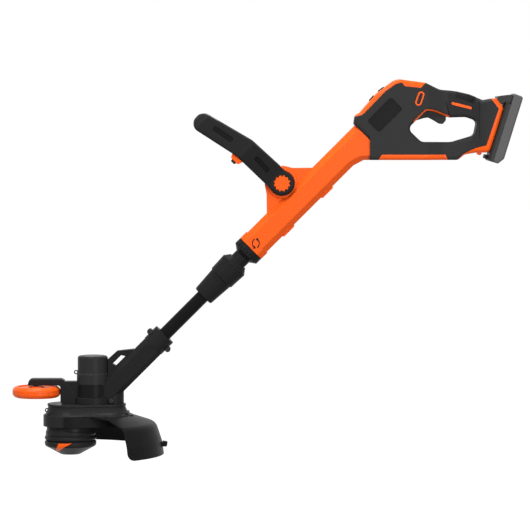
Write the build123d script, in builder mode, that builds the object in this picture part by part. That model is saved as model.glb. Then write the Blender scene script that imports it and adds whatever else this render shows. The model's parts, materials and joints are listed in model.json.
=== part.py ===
from build123d import *
from math import acos, atan2, cos, pi, radians, sin, tan
import os

# Fits
slide_gap = 0.3  # between pieces that move past one another
seat_gap = 0.1  # round a fixed piece in its seat
run_gap = 0.05  # radial play of a shaft in its bearing

# Shaft line, rising backwards from the spool axis
shaft_tilt = 45.0
shaft_foot_z = 41.0

# Lower shaft tube, with distances along the shaft line
tube_r = 11.0
tube_wall = 1.5
tube_low = 150.0
tube_high = 595.0
key_width = 4.0
key_depth = 0.8

# Swivelling neck sleeve, height nut and edging collar
sleeve_low = 322.0
sleeve_wall = 3.0
flange_low = 396.0
flange_r = 24.0
flange_cone = 7.0
flange_notch_r = 1.4
flange_notches = 24
spigot_r = 16.0
lip_r = 18.6
lip_thick = 6.0
nut_low = 305.0
nut_low_r = 17.7
nut_high_r = 20.5
nut_lip = 4.0
nut_flute_r = 1.7
nut_flutes = 16
collar_low = 346.2
collar_shoulder = 377.0
collar_high = 385.0
collar_low_r = 22.3
collar_high_r = 23.6
collar_top_r = 16.6
collar_notches = 24
collet_slit = 2.0

# Orange body tube
body_low = 415.0
body_joint = 674.0
body_half = 22.0
body_facet = 9.5
body_wall = 3.0
band_half = 23.8
band_len = 13.5
end_wall = 12.0
body_soft_r = 3.0
flare_len = 48.0
flare_knee = 29.6
flare_knee_drop = 5.5
flare_drop = 35.0
body_boss_r = 4.2
body_boss_n = -17.0
body_boss_half = 15.0
body_boss_s = (478.0, 566.0)
rest_len = 28.0
rest_half = 12.0
rest_drop = 2.5

# Bracket and pivot of the front handle, in shaft distances
pivot_s = 525.0
pivot_n = 39.5
web_half = 13.0
boss_r = 24.8
boss_half = 17.0
pivot_ring_r = 17.0
pivot_ring_h = 3.6
pocket_floor = 4.0

# Front handle
eye_r = 19.5
arm_half = 17.5
arm_reach = 82.0
arm_bend = 13.5
end_reach = 78.0
end_r = 15.0
arm_thick = 11.5
arm_in_low = 17.4
arm_in_high = 44.0
splay_low = 52.0
splay_high = 118.0
bar_thick = 30.0
button_r = 13.4
button_teeth = 12
tooth_r = 1.9
high_slot = (-11.0, 122.9)
high_slot_len = 38.0
high_slot_lean = 100.5
low_slot = (-1.3, 44.4)
low_slot_len = 33.0
low_slot_lean = 87.0
slot_wide = 8.8
slot_sink = 1.2
button_inner = 12.0
key_low = 107.0
key_high = 133.0
key_out = 8.0
key_thick = 4.5
key_wall = 0.6
pad_thick = 4.0

# Rear handle outline, as named points (backwards, upwards)
joint_x = 485.0
handle_bottom = 477.3
arm_rear = (627.0, 477.3)
frame_dip = (638.0, 486.0)
frame_low = (657.0, 489.4)
foot_heel = (677.0, 489.5)
foot_corner = (699.3, 562.0)
foot_top = (686.8, 577.4)
grip_rear = (667.0, 573.4)
grip_back = (646.0, 582.6)
grip_top = (619.5, 588.7)
grip_front = (597.0, 590.6)
cap_rear = (574.5, 601.6)
cap_crown = (527.0, 608.0)
cap_slope = (496.0, 585.0)
cap_low = (468.5, 553.4)
nose_high = (460.8, 549.0)
nose_low = (459.0, 535.2)

# Hand opening
opening_front = (545.5, 527.8)
arch_front = (557.0, 538.8)
arch_high = (575.8, 557.4)
arch_mid = (588.4, 555.2)
arch_rear = (612.4, 545.6)
opening_top = (640.0, 546.4)
opening_rear = (658.0, 540.0)
opening_heel = (652.9, 516.9)
opening_low = (616.7, 506.1)
opening_toe = (568.0, 506.1)
arch_trim = 2.6

# Half widths of the rear handle
handle_half = 27.0
grip_half = 17.5
foot_half = 36.0
waist_front = 576.0
waist_low = 606.0
waist_back = 648.0
waist_foot = 674.0
handle_wall = 3.2
handle_edge_r = 6.0
waist_blend = 30.0

# Orange mouldings on the rear handle
seam_front = (472.6, 550.2)
seam_low = (479.7, 557.1)
seam_high = (509.7, 588.1)
seam_crown = (526.0, 599.4)
seam_notch = (535.6, 602.0)
seam_step = (540.8, 596.0)
seam_rear = (566.5, 593.2)
strip_front = 499.0
strip_rear = 611.0
strip_height = 8.8
frame_toe = (636.2, 487.5)
frame_knee = (655.9, 496.9)
frame_heel = (671.4, 500.9)
frame_corner = (691.0, 559.9)
frame_top = (680.0, 574.6)
inlay_at = (634.2, 564.4)
inlay_len = 37.0
inlay_thick = 4.4
inlay_tilt = -13.9
inlay_depth = 2.0
inlay_proud = 0.4

# Trigger and buttons
trigger_half = 7.5
trigger_pivot = (567.0, 557.0)
trigger_top = 566.0
slot_top = 576.0
pin_r = 1.5
lock_at = (564.7, 576.2)
lock_tilt = 71.0
bezel_len = 23.5
bezel_wide = 10.5
bezel_rim = 2.4
bezel_proud = 0.6
lock_head = 8.0
lock_rod_r = 2.5
press_len = 11.6
press_wide = 14.0
press_proud = 1.8
press_depth = 7.0
press_flange = 1.5
feed_at = 503.5
speed_at = 488.5

# Slide battery, measured along the back of the foot from its heel
pack_low = -13.0
pack_long = 115.0
pack_clear = 0.4
pack_out = 25.0
pack_half = 36.0
pack_split = 9.7
pack_cover = 97.5
pack_edge_r = 4.0
rail_stem = 16.0
rail_head = 20.0
rail_neck = 1.9
rail_out = 4.1
rail_low = 19.0
hood_half = 29.0
hood_top = 112.0
cell_r = 9.1
cell_len = 65.0
cell_count = 5
cell_pitch = 18.7
cell_first = 12.8
cell_out = 14.2
latch_half = 14.0
latch_low = 1.5
latch_high = 8.5
latch_out = 5.5
latch_in = 2.2
latch_travel = 2.0

# Head: motor beside the spool axis, neck rising to the shaft
neck_low = 60.0
neck_high = 190.0
neck_half = 18.0
neck_facet = 7.0
clamp_high = 217.0
clamp_r = 19.2
clamp_lug_r = 4.6
base_x = 69.5
base_r = 17.5
base_high = 103.0
web_plate_half = 8.0
cover_r = 26.0
cover_cap_r = 24.5
cover_step = 132.0
cover_high = 160.0
cover_wall = 3.0
cover_edge_r = 4.0
motor_r = 17.5
motor_low = 68.0
motor_high = 122.0
motor_shaft_r = 1.6

# Gears and their case
gear_module = 1.0
pinion_teeth = 13
gear_teeth = 60
pressure = radians(20)
tooth_play = 0.16
gear_low = 53.0
gear_high = 61.0
case_low = 46.0
case_split = 64.0
case_high = 82.0
case_front_r = 44.0
case_rear_x = 62.0
case_rear_r = 27.0
case_top_r = 36.0
case_flare = 7.0
case_lip = 1.2
skirt_rear_r = 41.0
spindle_r = 5.0
bearing_r = 9.0

# Edge wheel and its arm
wheel_x = -55.0
wheel_r = 38.9
wheel_low = 92.0
wheel_thick = 18.0
wheel_edge = 4.5
wheel_soft = 1.3
wheel_dish = 1.6
wheel_recess = 4.5
wheel_tread = 10.0
wheel_grooves = 40
wheel_groove_r = 1.3
axle_r = 4.0
axle_head = 3.0
arm_low = 112.0
arm_high = 123.0
arm_tip = -69.0
arm_wide = 12.0
arm_leg = -15.5
arm_bridge = 9.0
arm_bridge_high = 118.5
ring_high = 93.0
ring_thick = 4.5

# Guard, a sector about the spool axis
guard_near = -48.7
guard_far = 82.0
guard_in = 44.0
guard_top = 64.0
guard_flat = (98.0, 64.0)
guard_brow = (139.0, 50.5)
guard_skirt = (148.5, 22.0)
guard_hem = (151.8, 0.6)
guard_wall = 2.8
guard_rise = 7.0
guard_corner_r = 12.0
guard_screws = [(91.5, 15.5), (91.5, -15.5)]
collar_wall = 2.4
collar_front = -8.0
cutter_angle = -24.0
cutter_thick = 1.5
cutter_in = 128.0
cutter_low = 24.0
cutter_high = 34.0

# Spool
cup_r = 38.0
cup_top = 45.0
drum_split = 24.0
rib_r = 42.0
rib_top_r = 39.5
cup_wall = 2.5
spool_flange_r = 33.0
spool_core_r = 14.0
spool_low = 16.5
spool_high = 41.0
spool_flange = 2.0
winding_r = 29.0
cap_floor_r = 16.0
cap_wall = 3.0
rib_high = 36.4
rib_low = 27.6
rib_half = 1.6
eyelet_r = 4.0
eyelet_hole_r = 2.0
tab_proud = 1.4

# Screws
screw_r = 1.5
screw_head_r = 3.0
screw_head_h = 2.2
screw_boss_r = 3.8
screw_len = 22.0

# Working planes: side view of the shaft, sections across it, pack frame
along = (cos(radians(shaft_tilt)), 0, sin(radians(shaft_tilt)))
shaft_foot = (0, 0, shaft_foot_z)
side = Plane(origin=shaft_foot, x_dir=along, z_dir=(0, -1, 0))
across = Plane(origin=shaft_foot, x_dir=(0, 1, 0), z_dir=along)
shaft_axis = Axis(shaft_foot, along)
pack_up = Vector(foot_corner[0] - foot_heel[0], 0, foot_corner[1] - foot_heel[1]).normalized()
pack_foot = (foot_heel[0], 0, foot_heel[1])
pack = Plane(origin=pack_foot, x_dir=(pack_up.Z, 0, -pack_up.X), z_dir=(0, -1, 0))
pack_across = Plane(origin=pack_foot, x_dir=(0, -1, 0), z_dir=pack_up)
motor_x = gear_module * (pinion_teeth + gear_teeth) / 2
bore_r = tube_r + 0.2
sleeve_r = bore_r + sleeve_wall
body_spigot = body_low + end_wall + slide_gap


# Lower shaft: a drawn tube with a keyway along its underside
with BuildPart() as shaft_tube:
    with BuildSketch(across.offset(tube_low)):
        Circle(tube_r)
        Circle(tube_r - tube_wall, mode=Mode.SUBTRACT)
        with Locations((0, -tube_r)):
            Rectangle(key_width, 2 * key_depth, mode=Mode.SUBTRACT)
    extrude(amount=tube_high - tube_low)

# Neck sleeve: guides the shaft and turns in the end of the body tube
with BuildPart() as neck_sleeve:
    with BuildSketch(side):
        with BuildLine():
            Polyline(
                (sleeve_low, bore_r),
                (sleeve_low, sleeve_r),
                (flange_low, sleeve_r),
                (flange_low + flange_cone, flange_r),
                (body_low - slide_gap, flange_r),
                (body_low - slide_gap, spigot_r),
                (body_spigot, spigot_r),
                (body_spigot, lip_r),
                (body_spigot + lip_thick, lip_r),
                (body_spigot + lip_thick, bore_r),
                close=True,
            )
        make_face()
    revolve(axis=shaft_axis)
    with BuildSketch(across.offset(flange_low)):
        with PolarLocations(flange_r, flange_notches):
            RegularPolygon(flange_notch_r, 6)
    extrude(amount=body_low - flange_low - flange_cone, mode=Mode.SUBTRACT)
    with BuildSketch(across.offset(sleeve_low)):
        with Locations((0, -bore_r)):
            Rectangle(key_width - 2 * slide_gap, 2 * key_depth - 2 * slide_gap)
    extrude(amount=body_low - sleeve_low)

# Collet: a split ring that grips the shaft when the nut is tight
with BuildPart() as clamp_collet:
    with BuildSketch(across.offset(nut_low + nut_lip + slide_gap)):
        Circle(sleeve_r)
        Circle(bore_r, mode=Mode.SUBTRACT)
        with Locations((sleeve_r, 0)):
            Rectangle(2 * sleeve_r, collet_slit, mode=Mode.SUBTRACT)
    extrude(amount=sleeve_low - nut_low - nut_lip - slide_gap)

# Height nut: the fluted grip under the collar
with BuildPart() as height_nut:
    with BuildSketch(side):
        with BuildLine():
            Polyline(
                (nut_low, tube_r + slide_gap),
                (nut_low, nut_low_r - 1),
                (nut_low + 2, nut_low_r),
                (collar_low - slide_gap, nut_high_r),
                (collar_low - slide_gap, sleeve_r + slide_gap),
                (nut_low + nut_lip, sleeve_r + slide_gap),
                (nut_low + nut_lip, tube_r + slide_gap),
                close=True,
            )
        make_face()
    revolve(axis=shaft_axis)
    with BuildSketch(across.offset(nut_low + 5)):
        with PolarLocations(nut_high_r + 0.4, nut_flutes):
            RegularPolygon(nut_flute_r, 8)
    extrude(amount=collar_low - nut_low - 9, mode=Mode.SUBTRACT)

# Edging collar: pulled back along the neck to let the head turn
with BuildPart() as edging_collar:
    with BuildSketch(side):
        with BuildLine():
            Polyline(
                (collar_low, sleeve_r + slide_gap),
                (collar_low, collar_low_r - 1),
                (collar_low + 1, collar_low_r),
                (collar_shoulder - 1, collar_high_r),
                (collar_shoulder, collar_high_r - 1),
                (collar_high, collar_top_r),
                (collar_high, sleeve_r + slide_gap),
                close=True,
            )
        make_face()
    revolve(axis=shaft_axis)
    with BuildSketch(across.offset(collar_shoulder - 8)):
        with PolarLocations(collar_high_r + 0.3, collar_notches):
            RegularPolygon(flange_notch_r, 6)
    extrude(amount=10, mode=Mode.SUBTRACT)

# Orange body tube: eight-sided, flared into the rear handle
with BuildPart() as body_whole:
    with BuildSketch(across.offset(body_low)) as body_section:
        Rectangle(2 * body_half, 2 * body_half)
        chamfer(body_section.vertices(), body_facet)
        fillet(body_section.vertices(), body_soft_r)
    extrude(amount=body_joint - flare_len - body_low)
    for before, drop in ((flare_len, 0), (flare_knee, flare_knee_drop), (0, flare_drop)):
        with BuildSketch(across.offset(body_joint - before)) as flare_section:
            with Locations((0, -drop / 2)):
                Rectangle(2 * body_half, 2 * body_half + drop)
            chamfer(flare_section.vertices(), body_facet)
            fillet(flare_section.vertices(), body_soft_r)
    loft(ruled=True)
    with BuildSketch(across.offset(body_low)) as band_section:
        Rectangle(2 * body_half, 2 * band_half)
        chamfer(band_section.vertices(), body_facet)
        fillet(band_section.vertices(), body_soft_r)
    extrude(amount=band_len)
    # Bracket web with its round pivot boss
    with BuildSketch(side):
        with BuildLine():
            FilletPolyline(
                (pivot_s - 56, body_half - 4),
                (pivot_s - 30, pivot_n + 5),
                (pivot_s - 19, pivot_n + boss_r - 3),
                (pivot_s + 19, pivot_n + boss_r - 3),
                (pivot_s + 29, pivot_n + 5),
                (pivot_s + 56, body_half - 4),
                radius=[0, 6, 12, 12, 6, 0],
                close=True,
            )
        make_face()
    extrude(amount=web_half, both=True)
    with BuildSketch(side):
        with Locations((pivot_s, pivot_n)):
            Circle(boss_r)
    extrude(amount=boss_half, both=True)
    fillet(
        body_whole.edges()
        .filter_by(GeomType.CIRCLE)
        .filter_by(lambda e: abs(abs(e.center().Y) - boss_half) < 0.01),
        2.0,
    )
    # Two rests moulded along the underside
    for s in body_boss_s:
        with BuildSketch(side):
            with BuildLine():
                Polyline(
                    (s - rest_len / 2, 1 - body_half),
                    (s - rest_len / 2 + rest_drop, -body_half - rest_drop),
                    (s + rest_len / 2 - rest_drop, -body_half - rest_drop),
                    (s + rest_len / 2, 1 - body_half),
                    close=True,
                )
            make_face()
        extrude(amount=rest_half, both=True)
    # Channel for the shaft, with a round seat for the neck sleeve
    with BuildSketch(across.offset(body_low + end_wall)) as channel_section:
        Rectangle(2 * (body_half - body_wall), 2 * (body_half - body_wall))
        chamfer(channel_section.vertices(), body_facet - 1.2)
    extrude(amount=body_joint - body_low - end_wall, mode=Mode.SUBTRACT)
    with BuildSketch(across.offset(body_low)):
        Circle(spigot_r + slide_gap)
    extrude(amount=end_wall, mode=Mode.SUBTRACT)
    with BuildSketch(side):
        with Locations([(s, body_boss_n) for s in body_boss_s]):
            Circle(body_boss_r)
            Circle(screw_r + seat_gap, mode=Mode.SUBTRACT)
    extrude(amount=body_boss_half, both=True)
    with BuildSketch(side):
        with Locations([(s, body_boss_n) for s in body_boss_s]):
            Circle(screw_r + seat_gap)
    extrude(amount=body_boss_half, both=True, mode=Mode.SUBTRACT)
    with BuildSketch(side.offset(-body_boss_half)):
        with Locations([(s, body_boss_n) for s in body_boss_s]):
            Circle(screw_head_r + seat_gap)
    extrude(amount=-body_half, mode=Mode.SUBTRACT)
    # Square end where the rear handle takes over
    with BuildSketch(Plane.XZ):
        with BuildLine():
            Polyline(
                (joint_x, handle_bottom - 40),
                (joint_x + 60, handle_bottom - 40),
                (joint_x + 60, handle_bottom + 80),
                (joint_x, handle_bottom + 80),
                close=True,
            )
        make_face()
    extrude(amount=2 * body_half, both=True, mode=Mode.SUBTRACT)
    # Round seats for the front handle and pockets for its buttons
    for hand in (1, -1):
        with BuildSketch(side.offset(hand * boss_half)):
            with Locations((pivot_s, pivot_n)):
                Circle(pivot_ring_r)
        extrude(amount=hand * pivot_ring_h)
        with BuildSketch(side.offset(hand * pocket_floor)):
            with Locations((pivot_s, pivot_n)):
                Circle(button_r + slide_gap)
        extrude(amount=hand * 2 * boss_half, mode=Mode.SUBTRACT)

with BuildPart() as body_left:
    add(body_whole)
    split(bisect_by=Plane.XZ, keep=Keep.TOP)
with BuildPart() as body_right:
    add(body_whole)
    split(bisect_by=Plane.XZ, keep=Keep.BOTTOM)

# Front handle: a stirrup whose arms straddle the bracket
knee_n = pivot_n + arm_reach
bend = radians(arm_bend)
end_s = pivot_s - 3 - end_reach * sin(bend)
end_n = knee_n + end_reach * cos(bend)
arm_out = arm_in_high + arm_thick
splay = atan2(arm_in_high - arm_in_low, splay_high - splay_low)
key_face = arm_in_high + key_wall
with BuildPart() as aux_handle:
    with BuildSketch(side):
        with BuildLine():
            FilletPolyline(
                (pivot_s - arm_half - 2, pivot_n),
                (pivot_s - arm_half - 3, knee_n),
                (end_s - end_r * (cos(bend) + sin(bend)), end_n + end_r * (cos(bend) - sin(bend))),
                (end_s + end_r * (cos(bend) - sin(bend)), end_n + end_r * (cos(bend) + sin(bend))),
                (pivot_s + arm_half - 3, knee_n),
                (pivot_s + arm_half + 1, pivot_n),
                radius=[0, 40, 0.96 * end_r, 0.96 * end_r, 40, 0],
                close=True,
            )
        make_face()
        with Locations((pivot_s, pivot_n)):
            Circle(eye_r)
    extrude(amount=arm_out, both=True)
    with BuildSketch(across.offset(pivot_s - 100)):
        with BuildLine():
            FilletPolyline(
                (-arm_in_low - arm_thick, pivot_n - eye_r),
                (-arm_in_low - arm_thick, splay_low),
                (-arm_out, splay_high),
                (-arm_out, end_n + end_r),
                (arm_out, end_n + end_r),
                (arm_out, splay_high),
                (arm_in_low + arm_thick, splay_low),
                (arm_in_low + arm_thick, pivot_n - eye_r),
                radius=[0, 25, 25, 18, 18, 25, 25, 0],
                close=True,
            )
        make_face()
        with BuildLine():
            FilletPolyline(
                (-arm_in_low, pivot_n - 2 * eye_r),
                (-arm_in_low, splay_low + 4),
                (-arm_in_high, splay_high + 4),
                (-arm_in_high, end_n + end_r - bar_thick),
                (arm_in_high, end_n + end_r - bar_thick),
                (arm_in_high, splay_high + 4),
                (arm_in_low, splay_low + 4),
                (arm_in_low, pivot_n - 2 * eye_r),
                radius=[0, 20, 20, 10, 10, 20, 20, 0],
                close=True,
            )
        make_face(mode=Mode.SUBTRACT)
    extrude(amount=200, mode=Mode.INTERSECT)
    # Toothed eyes, each with a seat for the pivot ring
    for hand in (1, -1):
        with BuildSketch(side.offset(hand * arm_in_low)):
            with Locations((pivot_s, pivot_n)):
                Circle(pivot_ring_r + slide_gap)
        extrude(amount=hand * (pivot_ring_h + slide_gap), mode=Mode.SUBTRACT)
        with BuildSketch(side.offset(hand * arm_in_low)):
            with Locations((pivot_s, pivot_n)):
                Circle(button_r + slide_gap)
                with PolarLocations(button_r + slide_gap, button_teeth, start_angle=180 / button_teeth):
                    Circle(tooth_r, mode=Mode.SUBTRACT)
        extrude(amount=hand * 2 * arm_thick, mode=Mode.SUBTRACT)
        # Bare slots: one on the upright part of the arm, one on its splayed part
        with BuildSketch(side.offset(hand * (arm_out - slot_sink))):
            with Locations((pivot_s + high_slot[0], pivot_n + high_slot[1])):
                SlotOverall(high_slot_len, slot_wide, rotation=high_slot_lean)
        extrude(amount=hand * 2 * slot_sink, mode=Mode.SUBTRACT)
        low_out = arm_in_low + arm_thick + (pivot_n + low_slot[1] - splay_low) * tan(splay)
        splayed = Plane(
            origin=side.from_local_coords((pivot_s + low_slot[0], pivot_n + low_slot[1], hand * low_out)),
            x_dir=along,
            z_dir=side.y_dir * -sin(splay) + side.z_dir * (hand * cos(splay)),
        )
        with BuildSketch(splayed.offset(-slot_sink)):
            SlotOverall(low_slot_len, slot_wide, rotation=hand * low_slot_lean)
        extrude(amount=2 * slot_sink, mode=Mode.SUBTRACT)
    # Slot for the release key in the left arm
    with BuildSketch(side.offset(key_face - slide_gap)):
        with BuildLine():
            Polyline(
                (pivot_s - 40, key_low - slide_gap),
                (pivot_s - arm_half + 8, key_low - slide_gap),
                (pivot_s - arm_half + 8, key_high + slide_gap),
                (pivot_s - 40, key_high + slide_gap),
                close=True,
            )
        make_face()
    extrude(amount=key_thick + 2 * slide_gap, mode=Mode.SUBTRACT)

# Splined buttons that lock the front handle
buttons = {}
for hand, name in ((1, "angle_button_left"), (-1, "angle_button_right")):
    with BuildPart() as buttons[name]:
        with BuildSketch(side.offset(hand * button_inner)):
            with Locations((pivot_s, pivot_n)):
                Circle(button_r)
                with PolarLocations(button_r + slide_gap, button_teeth, start_angle=180 / button_teeth):
                    Circle(tooth_r + slide_gap, mode=Mode.SUBTRACT)
        extrude(amount=hand * (arm_in_low + arm_thick - 1 - button_inner))

# Release key under the left arm, with its dark finger pad
key_root = pivot_s - arm_half - 3
with BuildPart() as release_key:
    with BuildSketch(side.offset(key_face)):
        with BuildLine():
            FilletPolyline(
                (key_root + 5, key_low),
                (key_root - key_out, key_low + 4),
                (key_root - key_out, key_high - 6),
                (key_root + 5, key_high),
                radius=[0, 3, 3, 0],
                close=True,
            )
        make_face()
    extrude(amount=key_thick)
with BuildPart() as release_pad:
    with BuildSketch(side.offset(key_face)):
        with BuildLine():
            FilletPolyline(
                (key_root - key_out, key_low + 7),
                (key_root - key_out - pad_thick, key_low + 9),
                (key_root - key_out - pad_thick, key_high - 10),
                (key_root - key_out, key_high - 9),
                radius=[0, 1.5, 1.5, 0],
                close=True,
            )
        make_face()
    extrude(amount=key_thick)


# Rear handle: one moulded form, later cut into its mouldings
handle_points = [
    (joint_x, handle_bottom),
    (joint_x, body_joint * 2**0.5 + shaft_foot_z - joint_x),
    nose_low,
    nose_high,
    cap_low,
    cap_slope,
    cap_crown,
    cap_rear,
    grip_front,
    grip_top,
    grip_back,
    grip_rear,
    foot_top,
    foot_corner,
    foot_heel,
    frame_low,
    frame_dip,
    arm_rear,
]
handle_radii = [0, 0, 0, 7, 6, 60, 20, 14, 25, 60, 40, 12, 7, 8, 9, 12, 8, 10]
opening_points = [
    opening_front,
    arch_front,
    arch_high,
    arch_mid,
    arch_rear,
    opening_top,
    opening_rear,
    opening_heel,
    opening_low,
    opening_toe,
]
opening_radii = [9, 10, 8, 20, 8, 20, 8, 9, 20, 16]
plan_points = [
    (nose_low[0] - 20, handle_half),
    (waist_front, handle_half),
    (waist_low, grip_half),
    (waist_back, grip_half),
    (waist_foot, foot_half),
    (foot_corner[0] + 10, foot_half),
]
plan_radii = [0, waist_blend, waist_blend, waist_blend, waist_blend, 0]
with BuildPart() as handle_whole:
    with BuildSketch(Plane.XZ):
        with BuildLine():
            FilletPolyline(*handle_points, radius=handle_radii, close=True)
        make_face()
        with BuildLine():
            FilletPolyline(*opening_points, radius=opening_radii, close=True)
        make_face(mode=Mode.SUBTRACT)
    extrude(amount=foot_half + 5, both=True)
    with BuildSketch(Plane.XY.offset(handle_bottom - 20)):
        with BuildLine():
            FilletPolyline(
                *plan_points,
                *[(x, -y) for x, y in reversed(plan_points)],
                radius=plan_radii * 2,
                close=True,
            )
        make_face()
    extrude(amount=200, mode=Mode.INTERSECT)
    fillet(
        handle_whole.edges()
        .filter_by(lambda e: abs(e.center().Y) > 8)
        .filter_by(Axis.Z, reverse=True),
        handle_edge_r,
    )

with BuildPart() as handle_hollow:
    with BuildSketch(Plane.XZ):
        with BuildLine():
            FilletPolyline(*handle_points, radius=handle_radii, close=True)
        make_face()
        with BuildLine():
            FilletPolyline(*opening_points, radius=opening_radii, close=True)
        make_face(mode=Mode.SUBTRACT)
        offset(amount=-handle_wall)
    extrude(amount=foot_half + 5, both=True)
    with BuildSketch(Plane.XY.offset(handle_bottom - 20)):
        with BuildLine():
            FilletPolyline(
                *plan_points,
                *[(x, -y) for x, y in reversed(plan_points)],
                radius=plan_radii * 2,
                close=True,
            )
        make_face()
        offset(amount=-handle_wall)
    extrude(amount=200, mode=Mode.INTERSECT)

# Seams between the mouldings of the rear handle
reach = 2 * foot_half
cap_seam = [
    (nose_high[0] - 20, nose_high[1] - 1.5),
    (nose_high[0] + 2, nose_high[1] - 1.5),
    seam_front,
    seam_low,
    seam_high,
    seam_crown,
    seam_notch,
    seam_step,
    seam_rear,
    (cap_rear[0] - 1, cap_rear[1]),
    (cap_rear[0] + 4, cap_rear[1] + 20),
    (nose_high[0] - 20, cap_crown[1] + 20),
]
strip_seam = [
    (strip_front - 4, handle_bottom - 5),
    (strip_front + 5, handle_bottom + strip_height),
    (strip_rear - 4, handle_bottom + strip_height),
    (strip_rear + 2, handle_bottom - 5),
]
frame_seam = [
    (arm_rear[0] + 1, handle_bottom - 5),
    (arm_rear[0] + 1, handle_bottom + 2),
    frame_toe,
    frame_knee,
    frame_heel,
    frame_corner,
    frame_top,
    (frame_top[0] + 1, foot_top[1] + 10),
    (foot_corner[0] + 30, foot_top[1] + 10),
    (foot_corner[0] + 30, handle_bottom - 5),
]
trim_window = [
    (arch_front[0] - 4, arch_front[1] + 2.4),
    (arch_front[0] + 3, arch_front[1] - 4),
    (arch_rear[0] + 0.6, arch_front[1] - 4),
    (arch_rear[0] + 0.6, arch_high[1] + 10),
    (arch_front[0] - 4, arch_high[1] + 10),
]
slot_half = trigger_half + 0.4
trigger_slot = [
    (arch_front[0] - 0.5, arch_front[1] - 6),
    (arch_rear[0] - 1, arch_front[1] - 6),
    (arch_rear[0] - 1, slot_top),
    (arch_front[0] - 0.5, slot_top),
]
screw_spots = [
    (500, 497, handle_half),
    (540, 512, handle_half),
    (512, 566, handle_half),
    (630, 497, grip_half),
]


def slope_plane(x, start, end):
    """Plane on the cap's slope at x, facing outwards."""
    rise = (end[1] - start[1]) / (end[0] - start[0])
    z = start[1] + rise * (x - start[0])
    return Plane(origin=(x, 0, z), x_dir=(1, 0, rise), z_dir=(-rise, 0, 1))


press_planes = {
    "feed_button": slope_plane(feed_at, cap_slope, cap_crown),
    "speed_button": slope_plane(speed_at, cap_low, cap_slope),
}

# Orange top cap with its two button holes
with BuildPart() as top_cap:
    add(handle_whole)
    add(handle_hollow, mode=Mode.SUBTRACT)
    with BuildSketch(Plane.XZ):
        with BuildLine():
            Polyline(*cap_seam, close=True)
        make_face()
    extrude(amount=reach, both=True, mode=Mode.INTERSECT)
    for spot in press_planes.values():
        with BuildSketch(spot.offset(-2 * handle_wall)):
            RectangleRounded(press_len + 2 * slide_gap, press_wide + 2 * slide_gap, 3 + slide_gap)
        extrude(amount=4 * handle_wall, mode=Mode.SUBTRACT)

# Push buttons in the cap, each held by a flange under it
for name, spot in press_planes.items():
    with BuildPart() as buttons[name]:
        with BuildSketch(spot.offset(-press_depth)):
            RectangleRounded(press_len, press_wide, 3)
        extrude(amount=press_depth + press_proud)
        chamfer(buttons[name].faces().sort_by(Axis(spot.origin, spot.z_dir))[-1].edges(), 0.8)
        with BuildSketch(spot.offset(-press_depth)):
            RectangleRounded(press_len + 3, press_wide + 6, 3)
        extrude(amount=press_flange)

# Orange strip under the lower arm
with BuildPart() as bottom_strip:
    add(handle_whole)
    add(handle_hollow, mode=Mode.SUBTRACT)
    with BuildSketch(Plane.XZ):
        with BuildLine():
            Polyline(*strip_seam, close=True)
        make_face()
    extrude(amount=reach, both=True, mode=Mode.INTERSECT)

# Orange frame round the battery foot, with its screw boss
with BuildPart() as battery_frame:
    add(handle_whole)
    add(handle_hollow, mode=Mode.SUBTRACT)
    with BuildSketch(Plane.XZ):
        with BuildLine():
            Polyline(*frame_seam, close=True)
        make_face()
    extrude(amount=reach, both=True, mode=Mode.INTERSECT)
    with BuildSketch(Plane.XZ):
        with Locations((frame_low[0] + 5, frame_low[1] - 0.6)):
            Circle(screw_boss_r)
    extrude(amount=9, both=True)

# Orange trim round the trigger arch
with BuildPart() as trigger_trim:
    add(handle_whole)
    with BuildSketch(Plane.XZ):
        with BuildLine():
            FilletPolyline(*opening_points, radius=opening_radii, close=True)
        make_face()
        offset(amount=arch_trim)
        with BuildLine():
            Polyline(*trim_window, close=True)
        make_face(mode=Mode.INTERSECT)
    extrude(amount=reach, both=True, mode=Mode.INTERSECT)
    with BuildSketch(Plane.XZ):
        with BuildLine():
            Polyline(*trigger_slot, close=True)
        make_face()
    extrude(amount=slot_half, both=True, mode=Mode.SUBTRACT)

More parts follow.
